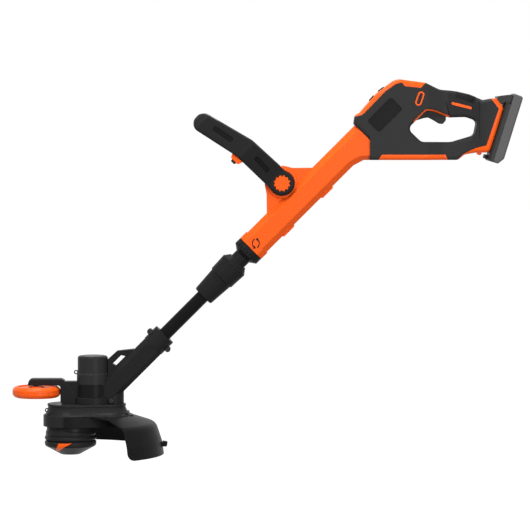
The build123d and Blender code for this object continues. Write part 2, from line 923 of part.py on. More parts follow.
# Black clamshell of the rear handle
pin_boss_r = 3.2
post_spots = [(510, 526), (530, 550)]
board_y = 8.0
board_thick = 1.6
with BuildPart() as handle_shell:
    add(handle_whole)
    add(handle_hollow, mode=Mode.SUBTRACT)
    with BuildSketch(Plane.XZ):
        for seam in (cap_seam, strip_seam, frame_seam):
            with BuildLine():
                Polyline(*seam, close=True)
            make_face()
    extrude(amount=reach, both=True, mode=Mode.SUBTRACT)
    with BuildSketch(Plane.XZ):
        with BuildLine():
            FilletPolyline(*opening_points, radius=opening_radii, close=True)
        make_face()
        offset(amount=arch_trim)
        with BuildLine():
            Polyline(*trim_window, close=True)
        make_face(mode=Mode.INTERSECT)
    extrude(amount=reach, both=True, mode=Mode.SUBTRACT)
    with BuildSketch(Plane.XZ):
        with BuildLine():
            Polyline(*trigger_slot, close=True)
        make_face()
    extrude(amount=slot_half, both=True, mode=Mode.SUBTRACT)
    # Passage into the body tube
    with BuildSketch(across.offset(body_joint - 4)):
        Circle(tube_r + 3)
    extrude(amount=16, mode=Mode.SUBTRACT)
    # Screw bosses, posts for the control board, bosses for the trigger pin
    for x, z, half in screw_spots:
        with BuildSketch(Plane.XZ):
            with Locations((x, z)):
                Circle(screw_boss_r)
        extrude(amount=half - 1, both=True)
    with BuildSketch(Plane.XZ.offset(board_y + board_thick)):
        with Locations(post_spots):
            Circle(2.5)
    extrude(amount=handle_half - 1 - board_y - board_thick)
    for hand in (1, -1):
        with BuildSketch(Plane.XZ.offset(hand * slot_half)):
            with Locations(trigger_pivot):
                Circle(pin_boss_r)
        extrude(amount=hand * (handle_half - 1 - slot_half))
    with BuildSketch(Plane.XZ):
        with Locations(trigger_pivot):
            Circle(pin_r + seat_gap)
    extrude(amount=2 * trigger_half, both=True, mode=Mode.SUBTRACT)
    # Screw holes, sunk from the right side
    for x, z, half in screw_spots:
        with BuildSketch(Plane.XZ.offset(-half)):
            with Locations((x, z)):
                Circle(screw_r + seat_gap)
        extrude(amount=screw_len + 2, mode=Mode.SUBTRACT)
        with BuildSketch(Plane.XZ.offset(-half)):
            with Locations((x, z)):
                Circle(screw_head_r + seat_gap)
        extrude(amount=screw_head_h + 1, mode=Mode.SUBTRACT)
    # Seats for the grip inlays and the lock-off bezels
    for hand in (1, -1):
        with BuildSketch(Plane.XZ.offset(hand * (grip_half - inlay_depth))):
            with Locations(inlay_at):
                SlotOverall(inlay_len, inlay_thick, rotation=inlay_tilt)
        extrude(amount=hand * 2 * inlay_depth, mode=Mode.SUBTRACT)
        with BuildSketch(Plane.XZ.offset(hand * (handle_half - 2 * handle_wall))):
            with Locations(lock_at):
                SlotOverall(bezel_len, bezel_wide, rotation=lock_tilt)
        extrude(amount=hand * 3 * handle_wall, mode=Mode.SUBTRACT)

with BuildPart() as handle_left:
    add(handle_shell)
    split(bisect_by=Plane.XZ, keep=Keep.TOP)
with BuildPart() as handle_right:
    add(handle_shell)
    split(bisect_by=Plane.XZ, keep=Keep.BOTTOM)

# Orange inlays on both sides of the grip
with BuildPart() as grip_inlays:
    for hand in (1, -1):
        with BuildSketch(Plane.XZ.offset(hand * (grip_half - inlay_depth))):
            with Locations(inlay_at):
                SlotOverall(inlay_len, inlay_thick, rotation=inlay_tilt)
        extrude(amount=hand * (inlay_depth + inlay_proud))

# Lock-off: orange bezels round a bar that can be pushed from either side
with BuildPart() as lock_off_bezels:
    for hand in (1, -1):
        with BuildSketch(Plane.XZ.offset(hand * (handle_half - handle_wall))):
            with Locations(lock_at):
                SlotOverall(bezel_len, bezel_wide, rotation=lock_tilt)
                SlotOverall(
                    bezel_len - 2 * bezel_rim,
                    bezel_wide - 2 * bezel_rim,
                    rotation=lock_tilt,
                    mode=Mode.SUBTRACT,
                )
        extrude(amount=hand * (handle_wall + bezel_proud))
with BuildPart() as lock_off_bar:
    with BuildSketch(Plane.XZ):
        with Locations(lock_at):
            Circle(lock_rod_r)
    extrude(amount=handle_half - lock_head, both=True)
    for hand in (1, -1):
        with BuildSketch(Plane.XZ.offset(hand * (handle_half - lock_head))):
            with Locations(lock_at):
                SlotOverall(
                    bezel_len - 2 * bezel_rim - 2 * slide_gap,
                    bezel_wide - 2 * bezel_rim - 2 * slide_gap,
                    rotation=lock_tilt,
                )
        extrude(amount=hand * (lock_head + bezel_proud))

# Trigger on its pin, with the return spring and switch above it
trigger_points = [
    (arch_front[0] + 2.5, arch_front[1] + 2),
    (561, 556),
    (566, trigger_top),
    (603, trigger_top),
    (608, 555),
    (608, 541),
    (603, 535.2),
    (597, 535.6),
    (586, 542.2),
    (579, 545.6),
    (572, 544.5),
]
switch_low = 574.0
spring_x = 597.0
spring_r = 3.0
with BuildPart() as trigger:
    with BuildSketch(Plane.XZ):
        with BuildLine():
            FilletPolyline(
                *trigger_points, radius=[0, 3, 4, 3, 3, 4, 2.5, 5, 10, 6, 0], close=True
            )
        make_face()
        with Locations(trigger_pivot):
            Circle(pin_r + run_gap, mode=Mode.SUBTRACT)
    extrude(amount=trigger_half, both=True)
    fillet(
        trigger.edges()
        .filter_by(lambda e: abs(abs(e.center().Y) - trigger_half) < 0.01)
        .filter_by(lambda e: e.center().Z < 548),
        2.0,
    )
with BuildPart() as trigger_pin:
    with BuildSketch(Plane.XZ):
        with Locations(trigger_pivot):
            Circle(pin_r)
    extrude(amount=2 * trigger_half, both=True)
with BuildPart() as trigger_spring:
    with BuildSketch(Plane.XY.offset(trigger_top)):
        with Locations((spring_x, 0)):
            Circle(spring_r)
            Circle(spring_r - 1, mode=Mode.SUBTRACT)
    extrude(amount=switch_low - trigger_top)
with BuildPart() as switch_module:
    with BuildSketch(Plane.XZ):
        with BuildLine():
            Polyline(
                (spring_x - 6, switch_low),
                (spring_x - 6, switch_low + 9),
                (spring_x + 30, switch_low + 6),
                (spring_x + 30, switch_low - 5),
                (spring_x + 14, switch_low - 5),
                (spring_x + 14, switch_low),
                close=True,
            )
        make_face()
    extrude(amount=grip_half - handle_wall - seat_gap, both=True)
with BuildPart() as control_board:
    with BuildSketch(Plane.XZ.offset(board_y)):
        with Locations((520, 538)):
            Rectangle(32, 36)
    extrude(amount=board_thick)
with BuildPart() as housing_screws:
    for x, z, half in screw_spots:
        with BuildSketch(Plane.XZ.offset(-half + 1)):
            with Locations((x, z)):
                Circle(screw_head_r)
        extrude(amount=screw_head_h)
        with BuildSketch(Plane.XZ.offset(-half + 1)):
            with Locations((x, z)):
                Circle(screw_r)
        extrude(amount=screw_len)
    for s in body_boss_s:
        with BuildSketch(side.offset(-body_boss_half)):
            with Locations((s, body_boss_n)):
                Circle(screw_r)
        extrude(amount=2 * body_boss_half)
        with BuildSketch(side.offset(-body_boss_half)):
            with Locations((s, body_boss_n)):
                Circle(screw_head_r)
        extrude(amount=-screw_head_h)

# Battery dock: a T-shaped rail and a hood over the top of the pack
corner_in = pack.to_local_coords(Vector(foot_corner[0], 0, foot_corner[1]))
top_in = pack.to_local_coords(Vector(foot_top[0], 0, foot_top[1]))
hood_low = pack_low + pack_cover + 0.7
with BuildPart() as battery_dock:
    with BuildSketch(pack_across.offset(pack_low + rail_low)):
        with Locations((0, rail_neck / 2)):
            Rectangle(2 * rail_stem, rail_neck)
        with Locations((0, (rail_neck + rail_out) / 2)):
            Rectangle(2 * rail_head, rail_out - rail_neck)
    extrude(amount=hood_low - pack_low - rail_low)
    with BuildSketch(pack):
        with BuildLine():
            Polyline(
                corner_in + (top_in - corner_in) * 0.28,
                corner_in + (top_in - corner_in) * 0.75,
                (top_in.X + 2, top_in.Y + 3),
                (4.3, pack_low + hood_top - 0.5),
                (pack_split - 0.5, pack_low + hood_top),
                (pack_split - 0.5, hood_low),
                (0.2, hood_low),
                close=True,
            )
        make_face()
    extrude(amount=hood_half, both=True)

# Battery: dark cover with the rail channel, grey case, one row of cells
channel = 0.4
cell_spots = [(cell_out, pack_low + cell_first + i * cell_pitch) for i in range(cell_count)]
with BuildPart() as battery_cells:
    with BuildSketch(pack):
        with Locations(cell_spots):
            Circle(cell_r)
    extrude(amount=cell_len / 2, both=True)
with BuildPart() as battery_cover:
    with BuildSketch(pack):
        with BuildLine():
            Polyline(
                (pack_clear, pack_low + 2),
                (pack_clear, pack_low + pack_cover),
                (pack_split, pack_low + pack_cover),
                (pack_split, pack_low),
                (pack_clear + 2, pack_low),
                close=True,
            )
        make_face()
    extrude(amount=pack_half, both=True)
    fillet(
        battery_cover.edges()
        .filter_by(lambda e: abs(abs(e.center().Y) - pack_half) < 0.01)
        .filter_by(lambda e: pack.to_local_coords(e.center()).X < pack_split - 3)
        .sort_by(SortBy.LENGTH)[-2:],
        pack_edge_r,
    )
    with BuildSketch(pack_across.offset(pack_low + rail_low - channel)):
        with Locations((0, rail_neck / 2)):
            Rectangle(2 * (rail_stem + channel), rail_neck)
        with Locations((0, (rail_neck + rail_out) / 2)):
            Rectangle(2 * (rail_head + channel), rail_out - rail_neck + 2 * channel)
    extrude(amount=pack_long, mode=Mode.SUBTRACT)
    with BuildSketch(pack):
        with BuildLine():
            Polyline(
                (0, pack_low + latch_low - slide_gap),
                (0, pack_low + latch_high + slide_gap),
                (latch_in + latch_travel + slide_gap, pack_low + latch_high + slide_gap),
                (latch_in + latch_travel + slide_gap, pack_low + latch_low - slide_gap),
                close=True,
            )
        make_face()
    extrude(amount=latch_half + slide_gap, both=True, mode=Mode.SUBTRACT)
    with BuildSketch(pack):
        with Locations(cell_spots):
            Circle(cell_r + seat_gap)
    extrude(amount=cell_len / 2 + seat_gap, both=True, mode=Mode.SUBTRACT)
with BuildPart() as battery_case:
    with BuildSketch(pack):
        with BuildLine():
            FilletPolyline(
                (pack_split, pack_low),
                (pack_split, pack_low + pack_long),
                (pack_out, pack_low + pack_long - 1),
                (pack_out, pack_low + 10),
                (pack_out - 7, pack_low),
                radius=[0, 0, 4, 6, 0],
                close=True,
            )
        make_face()
    extrude(amount=pack_half, both=True)
    fillet(
        battery_case.edges()
        .filter_by(lambda e: abs(abs(e.center().Y) - pack_half) < 0.01)
        .filter_by(lambda e: pack.to_local_coords(e.center()).X > pack_split + 1),
        pack_edge_r - 0.5,
    )
    with BuildSketch(pack):
        with Locations(cell_spots):
            Circle(cell_r + seat_gap)
    extrude(amount=cell_len / 2 + seat_gap, both=True, mode=Mode.SUBTRACT)
with BuildPart() as battery_latch:
    with BuildSketch(pack):
        with BuildLine():
            FilletPolyline(
                (-latch_out, pack_low + latch_low),
                (-latch_out, pack_low + latch_high),
                (latch_in, pack_low + latch_high),
                (latch_in, pack_low + latch_low),
                radius=[2, 2, 0, 0],
                close=True,
            )
        make_face()
    extrude(amount=latch_half, both=True)

# Head shell: octagonal neck on the tube, round base, and a slotted web plate
motor_axis = Axis((motor_x, 0, 0), (0, 0, 1))
cover_seat = cover_r + seat_gap
ring_r = cover_seat + ring_thick
clip_at = (67.5, 87.5)
clip_screw_len = 8.0
with BuildPart() as head_whole:
    with BuildSketch(across.offset(neck_low)) as neck_section:
        Rectangle(2 * neck_half, 2 * neck_half)
        chamfer(neck_section.vertices(), neck_facet)
    extrude(amount=neck_high - neck_low)
    with BuildSketch(Plane.XY.offset(case_high)):
        with Locations((base_x, 0)):
            Circle(base_r)
    extrude(amount=base_high - case_high)
    with BuildSketch(Plane.XZ):
        with BuildLine():
            Polyline(
                (motor_x + cover_cap_r - 6, base_high + 1),
                (motor_x + cover_cap_r - 6, cover_high - 5),
                (motor_x + cover_cap_r + 1, cover_high - 5),
                (motor_x + 40, cover_high + 8),
                (motor_x + 67, cover_high + 11),
                (motor_x + 80, cover_high),
                (motor_x + 26, base_high + 1),
                close=True,
            )
        make_face()
        with BuildLine():
            Polyline((69, 147), (83, 161), (90, 159.5), (74.5, 144.2), close=True)
        make_face(mode=Mode.SUBTRACT)
    extrude(amount=web_plate_half, both=True)
    with BuildSketch(Plane.XZ):
        with Locations(clip_at):
            Circle(screw_boss_r + 0.7)
    extrude(amount=base_r + 1, both=True)
    # Clear the motor cover, the arm's ring and the gear case
    with BuildSketch(Plane.XY.offset(case_high)):
        with Locations((motor_x, 0)):
            Circle(cover_seat)
    extrude(amount=cover_high, mode=Mode.SUBTRACT)
    with BuildSketch(Plane.XY.offset(case_high)):
        with Locations((motor_x, 0)):
            Circle(ring_r + seat_gap)
    extrude(amount=ring_high + seat_gap - case_high, mode=Mode.SUBTRACT)
    with BuildSketch(Plane.XY.offset(case_high)):
        with Locations((motor_x, 0)):
            Rectangle(6 * base_r, 6 * base_r)
    extrude(amount=-2 * base_r, mode=Mode.SUBTRACT)
    # Socket for the shaft tube and holes for the clip screws
    with BuildSketch(across.offset(tube_low)):
        Circle(tube_r + seat_gap)
    extrude(amount=neck_high - tube_low, mode=Mode.SUBTRACT)
    for hand in (1, -1):
        with BuildSketch(Plane.XZ.offset(hand * (base_r + 1))):
            with Locations(clip_at):
                Circle(screw_r + seat_gap)
        extrude(amount=-hand * (clip_screw_len + 1), mode=Mode.SUBTRACT)

with BuildPart() as head_left:
    add(head_whole)
    split(bisect_by=Plane.XZ, keep=Keep.TOP)
with BuildPart() as head_right:
    add(head_whole)
    split(bisect_by=Plane.XZ, keep=Keep.BOTTOM)

# Clamp ring that closes the head on the tube
clamp_mid = (neck_high + clamp_high) / 2
lug_n = clamp_r + 1
with BuildPart() as head_clamp:
    with BuildSketch(across.offset(neck_high)):
        Circle(clamp_r)
    extrude(amount=clamp_high - neck_high)
    with BuildSketch(side):
        with Locations((clamp_mid, lug_n), (clamp_mid, -lug_n)):
            Circle(clamp_lug_r)
    extrude(amount=neck_half / 2, both=True)
    with BuildSketch(across.offset(neck_high)):
        Circle(tube_r + seat_gap)
    extrude(amount=clamp_high - neck_high, mode=Mode.SUBTRACT)
    with BuildSketch(side):
        with Locations((clamp_mid, lug_n), (clamp_mid, -lug_n)):
            Circle(screw_r + seat_gap)
    extrude(amount=neck_half, both=True, mode=Mode.SUBTRACT)

# Motor cover: a stepped cap with a wire loop
with BuildPart() as motor_cover:
    with BuildSketch(Plane.XZ):
        with BuildLine():
            FilletPolyline(
                (motor_x, cover_high),
                (motor_x + cover_cap_r, cover_high),
                (motor_x + cover_cap_r, cover_step),
                (motor_x + cover_r, cover_step - 1.5),
                (motor_x + cover_r, case_high),
                (motor_x + cover_r - cover_wall, case_high),
                (motor_x + cover_r - cover_wall, cover_step - cover_wall),
                (motor_x + cover_cap_r - cover_wall, cover_step - cover_wall + 1.5),
                (motor_x + cover_cap_r - cover_wall, cover_high - cover_wall),
                (motor_x, cover_high - cover_wall),
                radius=[0, cover_edge_r, 0, 0, 0, 0, 0, 0, 0, 0],
                close=True,
            )
        make_face()
    revolve(axis=motor_axis)
    with BuildSketch(Plane.XZ):
        with Locations((motor_x - cover_cap_r - 2.6, cover_step + 1)):
            Circle(3.5)
            Circle(1.8, mode=Mode.SUBTRACT)
    extrude(amount=1.5, both=True)

# Motor can, standing in the upper gear case
with BuildPart() as motor:
    with BuildSketch(Plane.XY.offset(motor_low)):
        with Locations((motor_x, 0)):
            Circle(motor_r)
            Circle(motor_shaft_r + run_gap, mode=Mode.SUBTRACT)
    extrude(amount=motor_high - motor_low)


def gear_outline(teeth, addendum):
    """Corner points of a spur gear with straight flanks from root to pitch to tip."""
    pitch_r = gear_module * teeth / 2
    root_r = pitch_r - 1.25 * gear_module
    tip_r = pitch_r + addendum * gear_module
    base_angle = pi / (2 * teeth) - tooth_play / (2 * pitch_r) + tan(pressure) - pressure
    tip_pressure = acos(pitch_r * cos(pressure) / tip_r)
    tip_half = base_angle - tan(tip_pressure) + tip_pressure
    pitch_half = base_angle - tan(pressure) + pressure
    root_half = min(base_angle, 0.9 * pi / teeth)
    points = []
    for tooth in range(teeth):
        middle = 2 * pi * tooth / teeth
        for radius, turn in (
            (root_r, -root_half),
            (pitch_r, -pitch_half),
            (tip_r, -tip_half),
            (tip_r, tip_half),
            (pitch_r, pitch_half),
            (root_r, root_half),
        ):
            points.append((radius * cos(middle + turn), radius * sin(middle + turn)))
    return points


# Rotor shaft with its pinion, meshing with the large gear on the spindle
gear_addendum = 0.75
pinion_addendum = 1.0
with BuildPart() as motor_pinion:
    with BuildSketch(Plane.XY.offset(gear_low - 0.5)):
        with BuildLine(Location((motor_x, 0, 0))):
            Polyline(*gear_outline(pinion_teeth, pinion_addendum), close=True)
        make_face()
    extrude(amount=gear_high - gear_low + 1.5)
    with BuildSketch(Plane.XY.offset(gear_low - 0.5)):
        with Locations((motor_x, 0)):
            Circle(motor_shaft_r)
    extrude(amount=motor_high - gear_low + 4)
with BuildPart() as spindle:
    with BuildSketch(Plane.XY.offset(spool_low - 6)):
        Circle(spindle_r)
    extrude(amount=motor_low - spool_low + 5.5)
with BuildPart() as spindle_gear:
    with BuildSketch(Plane.XY.offset(gear_low)):
        with BuildLine():
            Polyline(*gear_outline(gear_teeth, gear_addendum), close=True)
        make_face()
        Circle(spindle_r, mode=Mode.SUBTRACT)
        with PolarLocations(gear_module * gear_teeth / 3, 6):
            Circle(gear_module * gear_teeth / 12, mode=Mode.SUBTRACT)
    extrude(amount=gear_high - gear_low)

# Gear case in two halves, parted above the gears
gear_tip_r = gear_module * (gear_teeth / 2 + gear_addendum)
pinion_tip_r = gear_module * (pinion_teeth / 2 + pinion_addendum)
bearing_high = 5.0
with BuildPart() as gear_case_upper:
    for rise, spread in ((0, 1), (0.12, 0.62), (0.3, 0.34), (0.5, 0.15), (0.8, 0)):
        with BuildSketch(Plane.XY.offset(case_split + rise * (case_high - case_split))):
            Circle(case_top_r + case_flare * spread)
            with Locations((case_rear_x, 0)):
                Circle(case_rear_r + (skirt_rear_r - case_rear_r) * spread)
            make_hull()
    loft(ruled=True)
    with BuildSketch(Plane.XY.offset(case_high)):
        Circle(case_top_r + case_lip)
        with Locations((case_rear_x, 0)):
            Circle(case_rear_r + case_lip)
        make_hull()
    extrude(amount=-0.2 * (case_high - case_split))
    with BuildSketch(Plane.XY.offset(case_split)):
        with Locations(guard_screws):
            Circle(screw_boss_r)
    extrude(amount=motor_low - case_split + 1)
    with BuildSketch(Plane.XZ):
        with Locations((-case_top_r - 2.2, case_split + case_flare)):
            Circle(3.5)
            Circle(1.8, mode=Mode.SUBTRACT)
    extrude(amount=1.5, both=True)
    with BuildSketch(Plane.XY.offset(motor_low)):
        with Locations((motor_x, 0)):
            Circle(motor_r + seat_gap)
    extrude(amount=case_high - motor_low, mode=Mode.SUBTRACT)
    with BuildSketch(Plane.XY.offset(case_split)):
        Circle(bearing_r + seat_gap)
        with Locations((motor_x, 0)):
            Circle(pinion_tip_r + 2 * slide_gap)
        with Locations(guard_screws):
            Circle(screw_r + seat_gap)
    extrude(amount=motor_low - case_split, mode=Mode.SUBTRACT)
with BuildPart() as gear_case_lower:
    with BuildSketch(Plane.XY.offset(case_low)):
        Circle(case_front_r)
        with Locations((case_rear_x, 0)):
            Circle(case_rear_r)
        make_hull()
    extrude(amount=case_split - case_low)
    with BuildSketch(Plane.XY.offset(gear_low - 1)):
        Circle(gear_tip_r + 1)
        with Locations((motor_x, 0)):
            Circle(pinion_tip_r + 1)
    extrude(amount=case_split - gear_low + 1, mode=Mode.SUBTRACT)
    with BuildSketch(Plane.XY.offset(case_low)):
        Circle(bearing_r + seat_gap)
    extrude(amount=bearing_high + 0.5, mode=Mode.SUBTRACT)
    with BuildSketch(Plane.XY.offset(case_low)):
        Circle(spindle_r + 1.5)
    extrude(amount=bearing_high + 2, mode=Mode.SUBTRACT)
with BuildPart() as spindle_bearings:
    for low, high in ((case_low + 0.5, case_low + 0.5 + bearing_high), (case_split + 0.2, motor_low)):
        with BuildSketch(Plane.XY.offset(low)):
            Circle(bearing_r)
            Circle(spindle_r + run_gap, mode=Mode.SUBTRACT)
        extrude(amount=high - low)

# Edge wheel, its axle and the arm that carries it
with BuildPart() as wheel_arm:
    with BuildSketch(Plane.XZ):
        with BuildLine():
            FilletPolyline(
                (arm_leg, case_high + 3),
                (arm_leg, arm_low),
                (arm_tip, arm_low),
                (arm_tip + 3, arm_high),
                (arm_leg + 3, arm_high),
                (arm_leg + 15, arm_high - 12),
                (arm_leg + 28, ring_high + 1.5),
                (arm_leg + 31, case_high),
                (arm_leg + 4, case_high),
                radius=[0, 4, 0, 7, 10, 25, 12, 0, 0],
                close=True,
            )
        make_face()
    extrude(amount=arm_wide, both=True)
    fillet(
        wheel_arm.edges()
        .filter_by(lambda e: abs(abs(e.center().Y) - arm_wide) < 0.01)
        .filter_by(lambda e: e.center().Z > arm_high - 2),
        3.0,
    )
    # Bridge from the top of the arm to the motor cover, and the ring around the cover
    with BuildSketch(Plane.XZ):
        with BuildLine():
            Polyline(
                (arm_leg + 3, arm_high - 7),
                (arm_leg + 9, arm_bridge_high),
                (motor_x - 0.8 * cover_r, arm_bridge_high),
                (motor_x - 0.8 * cover_r, case_high),
                (arm_leg + 8, case_high),
                close=True,
            )
        make_face()
    extrude(amount=arm_bridge, both=True)
    with BuildSketch(Plane.XY.offset(case_high)):
        with Locations((motor_x, 0)):
            Circle(ring_r)
    extrude(amount=ring_high - case_high)
    with BuildSketch(Plane.XY.offset(case_high)):
        with Locations((motor_x, 0)):
            Circle(cover_seat)
        with Locations((base_x + ring_r, 0)):
            Rectangle(2 * ring_r - 8, 4 * ring_r)
    extrude(amount=arm_high, mode=Mode.SUBTRACT)
    with BuildSketch(Plane.XY.offset(arm_low)):
        with Locations((wheel_x, 0)):
            Circle(axle_r)
    extrude(amount=axle_r, mode=Mode.SUBTRACT)
axle_low = wheel_low + wheel_recess - slide_gap
with BuildPart() as wheel_axle:
    with BuildSketch(Plane.XY.offset(axle_low)):
        with Locations((wheel_x, 0)):
            Circle(axle_r)
    extrude(amount=arm_low + axle_r - axle_low)
    with BuildSketch(Plane.XY.offset(axle_low)):
        with Locations((wheel_x, 0)):
            Circle(2 * axle_r)
    extrude(amount=-axle_head)
with BuildPart() as edge_wheel:
    with BuildSketch(Plane.XY.offset(wheel_low)):
        with Locations((wheel_x, 0)):
            Circle(wheel_r)
    extrude(amount=wheel_thick)
    chamfer(edge_wheel.edges(), wheel_edge)
    chamfer(edge_wheel.edges().filter_by(GeomType.CIRCLE), wheel_soft)
    with BuildSketch(Plane.XY.offset(wheel_low)):
        with Locations((wheel_x, 0)):
            with PolarLocations(wheel_r + 0.5, wheel_grooves):
                RegularPolygon(wheel_groove_r, 4)
    extrude(amount=wheel_tread, mode=Mode.SUBTRACT)
    with BuildSketch(Plane.XY.offset(wheel_low + wheel_thick)):
        with Locations((wheel_x, 0)):
            Circle(wheel_r - 2 * wheel_edge)
            Circle(3 * axle_r, mode=Mode.SUBTRACT)
    extrude(amount=-wheel_dish, mode=Mode.SUBTRACT)
    with BuildSketch(Plane.XY.offset(wheel_low)):
        with Locations((wheel_x, 0)):
            Circle(wheel_r - 2 * wheel_edge)
    extrude(amount=wheel_recess, mode=Mode.SUBTRACT)
    with BuildSketch(Plane.XY.offset(wheel_low)):
        with Locations((wheel_x, 0)):
            Circle(axle_r + run_gap)
    extrude(amount=wheel_thick, mode=Mode.SUBTRACT)

# Guard: a swept shell hung under the gear case, hem lifted on the far side
def turned(angle):
    """Upright plane through the spool axis, turned away from +X."""
    turn = radians(angle)
    return Plane(origin=(0, 0, 0), x_dir=(cos(turn), sin(turn), 0), z_dir=(sin(turn), -cos(turn), 0))


with BuildPart() as guard:
    with BuildSketch(turned(guard_near)):
        with BuildLine():
            FilletPolyline(
                (guard_in, guard_top),
                guard_flat,
                guard_brow,
                guard_skirt,
                guard_hem,
                (guard_hem[0] - guard_wall, guard_hem[1]),
                (guard_skirt[0] - guard_wall, guard_skirt[1] - 0.5),
                (guard_brow[0] - 2.1, guard_brow[1] - 2.1),
                (guard_flat[0] - 0.5, guard_top - guard_wall),
                (guard_in, guard_top - guard_wall),
                radius=[0, 12, 14, 20, 0, 0, 20, 11, 12, 0],
                close=True,
            )
        make_face()
    revolve(axis=Axis.Z, revolution_arc=guard_far - guard_near)
    with BuildSketch(Plane.XY.offset(case_low)):
        Circle(case_front_r + seat_gap + collar_wall)
        with Locations((case_rear_x, 0)):
            Circle(case_rear_r + seat_gap + collar_wall)
        make_hull()
        with Locations((collar_front - 2 * case_front_r, 0)):
            Rectangle(4 * case_front_r, 4 * case_front_r, mode=Mode.SUBTRACT)
    extrude(amount=case_split - case_low - seat_gap)
    with BuildSketch(Plane.XY.offset(case_low)):
        Circle(case_front_r + seat_gap)
        with Locations((case_rear_x, 0)):
            Circle(case_rear_r + seat_gap)
        make_hull()
    extrude(amount=case_split, mode=Mode.SUBTRACT)
    with BuildSketch(Plane.YZ):
        with BuildLine():
            Polyline((10, -5), (10, 0), (85, guard_rise), (200, guard_rise), (200, -5), close=True)
        make_face()
    extrude(amount=200, both=True, mode=Mode.SUBTRACT)
    fillet(
        guard.edges()
        .filter_by(lambda e: abs(e.center().Z - guard_hem[1]) < 0.01)
        .sort_by(Axis.Y)[0],
        guard_corner_r,
    )
    with BuildSketch(Plane.XZ):
        with BuildLine():
            FilletPolyline(
                (guard_skirt[0] - 1, 12),
                (guard_skirt[0] + 1, 21),
                (guard_hem[0] + 6, 20),
                (guard_hem[0] + 5, 12),
                radius=[0, 0, 2, 2],
                close=True,
            )
        make_face()
    extrude(amount=5, both=True)
    with BuildSketch(Plane.XY.offset(guard_top)):
        with Locations(guard_screws):
            Circle(screw_r + seat_gap)
    extrude(amount=-2 * guard_wall, mode=Mode.SUBTRACT)

# Steel line cutter on the inside of the skirt
cutter_out = guard_skirt[0] - guard_wall - 2 * slide_gap
inner_slope = (guard_brow[0] - guard_skirt[0] + 0.7) / (guard_brow[1] - guard_skirt[1] - 1.6)
with BuildPart() as line_cutter:
    with BuildSketch(turned(cutter_angle)):
        with BuildLine():
            Polyline(
                (cutter_in, cutter_low),
                (cutter_in, cutter_high),
                (cutter_out + inner_slope * (cutter_high - guard_skirt[1]), cutter_high),
                (cutter_out + inner_slope * (cutter_low - guard_skirt[1]), cutter_low),
                close=True,
            )
        make_face()
    extrude(amount=cutter_thick / 2, both=True)

# Spool housing: a ribbed cup fixed to the spindle, with two steel eyelets
eyelet_z = (rib_high + rib_low) / 2
eyelet_planes = [Plane.YZ.offset(cup_r - cup_wall - 1), Plane.YZ.offset(-cup_r - 2)]
with BuildPart() as spool_housing:
    with BuildSketch(Plane.XZ):
        with BuildLine():
            Polyline(
                (spindle_r, cup_top),
                (cup_r, cup_top),
                (cup_r, rib_high + rib_half + 1),
                (rib_top_r, rib_high + rib_half),
                (rib_top_r, rib_high - rib_half),
                (cup_r, rib_high - rib_half - 1),
                (cup_r, rib_low + rib_half + 1),
                (rib_r, rib_low + rib_half),
                (rib_r, rib_low - rib_half),
                (cup_r, rib_low - rib_half - 1),
                (cup_r, drum_split),
                (cup_r - cup_wall, drum_split),
                (cup_r - cup_wall, cup_top - cup_wall),
                (spindle_r, cup_top - cup_wall),
                close=True,
            )
        make_face()
    revolve(axis=Axis.Z)
    for spot in eyelet_planes:
        with BuildSketch(spot):
            with Locations((0, eyelet_z)):
                Circle(eyelet_r - 1)
        extrude(amount=cup_wall + 1 + 2, mode=Mode.SUBTRACT)
with BuildPart() as line_eyelets:
    for spot in eyelet_planes:
        with BuildSketch(spot):
            with Locations((0, eyelet_z)):
                Circle(eyelet_r - 1)
                Circle(eyelet_hole_r, mode=Mode.SUBTRACT)
        extrude(amount=cup_wall + 1 + 2)
with BuildPart() as spool_drum:
    with BuildSketch(Plane.XZ):
        with BuildLine():
            Polyline(
                (spindle_r, spool_low),
                (spool_flange_r, spool_low),
                (spool_flange_r, spool_low + spool_flange),
                (spool_core_r, spool_low + spool_flange),
                (spool_core_r, spool_high - spool_flange),
                (spool_flange_r, spool_high - spool_flange),
                (spool_flange_r, spool_high),
                (spindle_r, spool_high),
                close=True,
            )
        make_face()
    revolve(axis=Axis.Z)
with BuildPart() as line_winding:
    with BuildSketch(Plane.XY.offset(spool_low + spool_flange)):
        Circle(winding_r)
        Circle(spool_core_r, mode=Mode.SUBTRACT)
    extrude(amount=spool_high - spool_low - 2 * spool_flange)

# Spool cap: ribbed rim and a shallow cone, opened by two squeeze tabs
cap_rim_low = 14.5
cap_rim_high = drum_split - slide_gap
cap_drop = cap_wall * (1 + ((cap_rim_low / (rib_r - cap_floor_r)) ** 2)) ** 0.5
tab_outline = [(-17, 20.6), (4.9, 21.2), (-6.5, 15.4), (-17.8, 6), (-22.7, 8.6)]
with BuildPart() as spool_cap:
    with BuildSketch(Plane.XZ):
        with BuildLine():
            Polyline(
                (0, 0),
                (cap_floor_r, 0),
                (rib_r - 1.5, cap_rim_low - 1),
                (rib_r, cap_rim_low + 2),
                (rib_r, cap_rim_high - 3),
                (cup_r, cap_rim_high),
                (cup_r - cap_wall, cap_rim_high),
                (cup_r - cap_wall, cap_rim_low + 1),
                (cap_floor_r - 1, cap_drop),
                (0, cap_drop),
                close=True,
            )
        make_face()
    revolve(axis=Axis.Z)
    for turn in (0, 180):
        with BuildSketch(turned(turn)):
            with BuildLine():
                Polyline(*tab_outline, close=True)
            make_face()
            offset(amount=slide_gap)
        extrude(amount=2 * rib_r, mode=Mode.SUBTRACT)
tabs = {"cap_tab_front": 0, "cap_tab_back": 180}
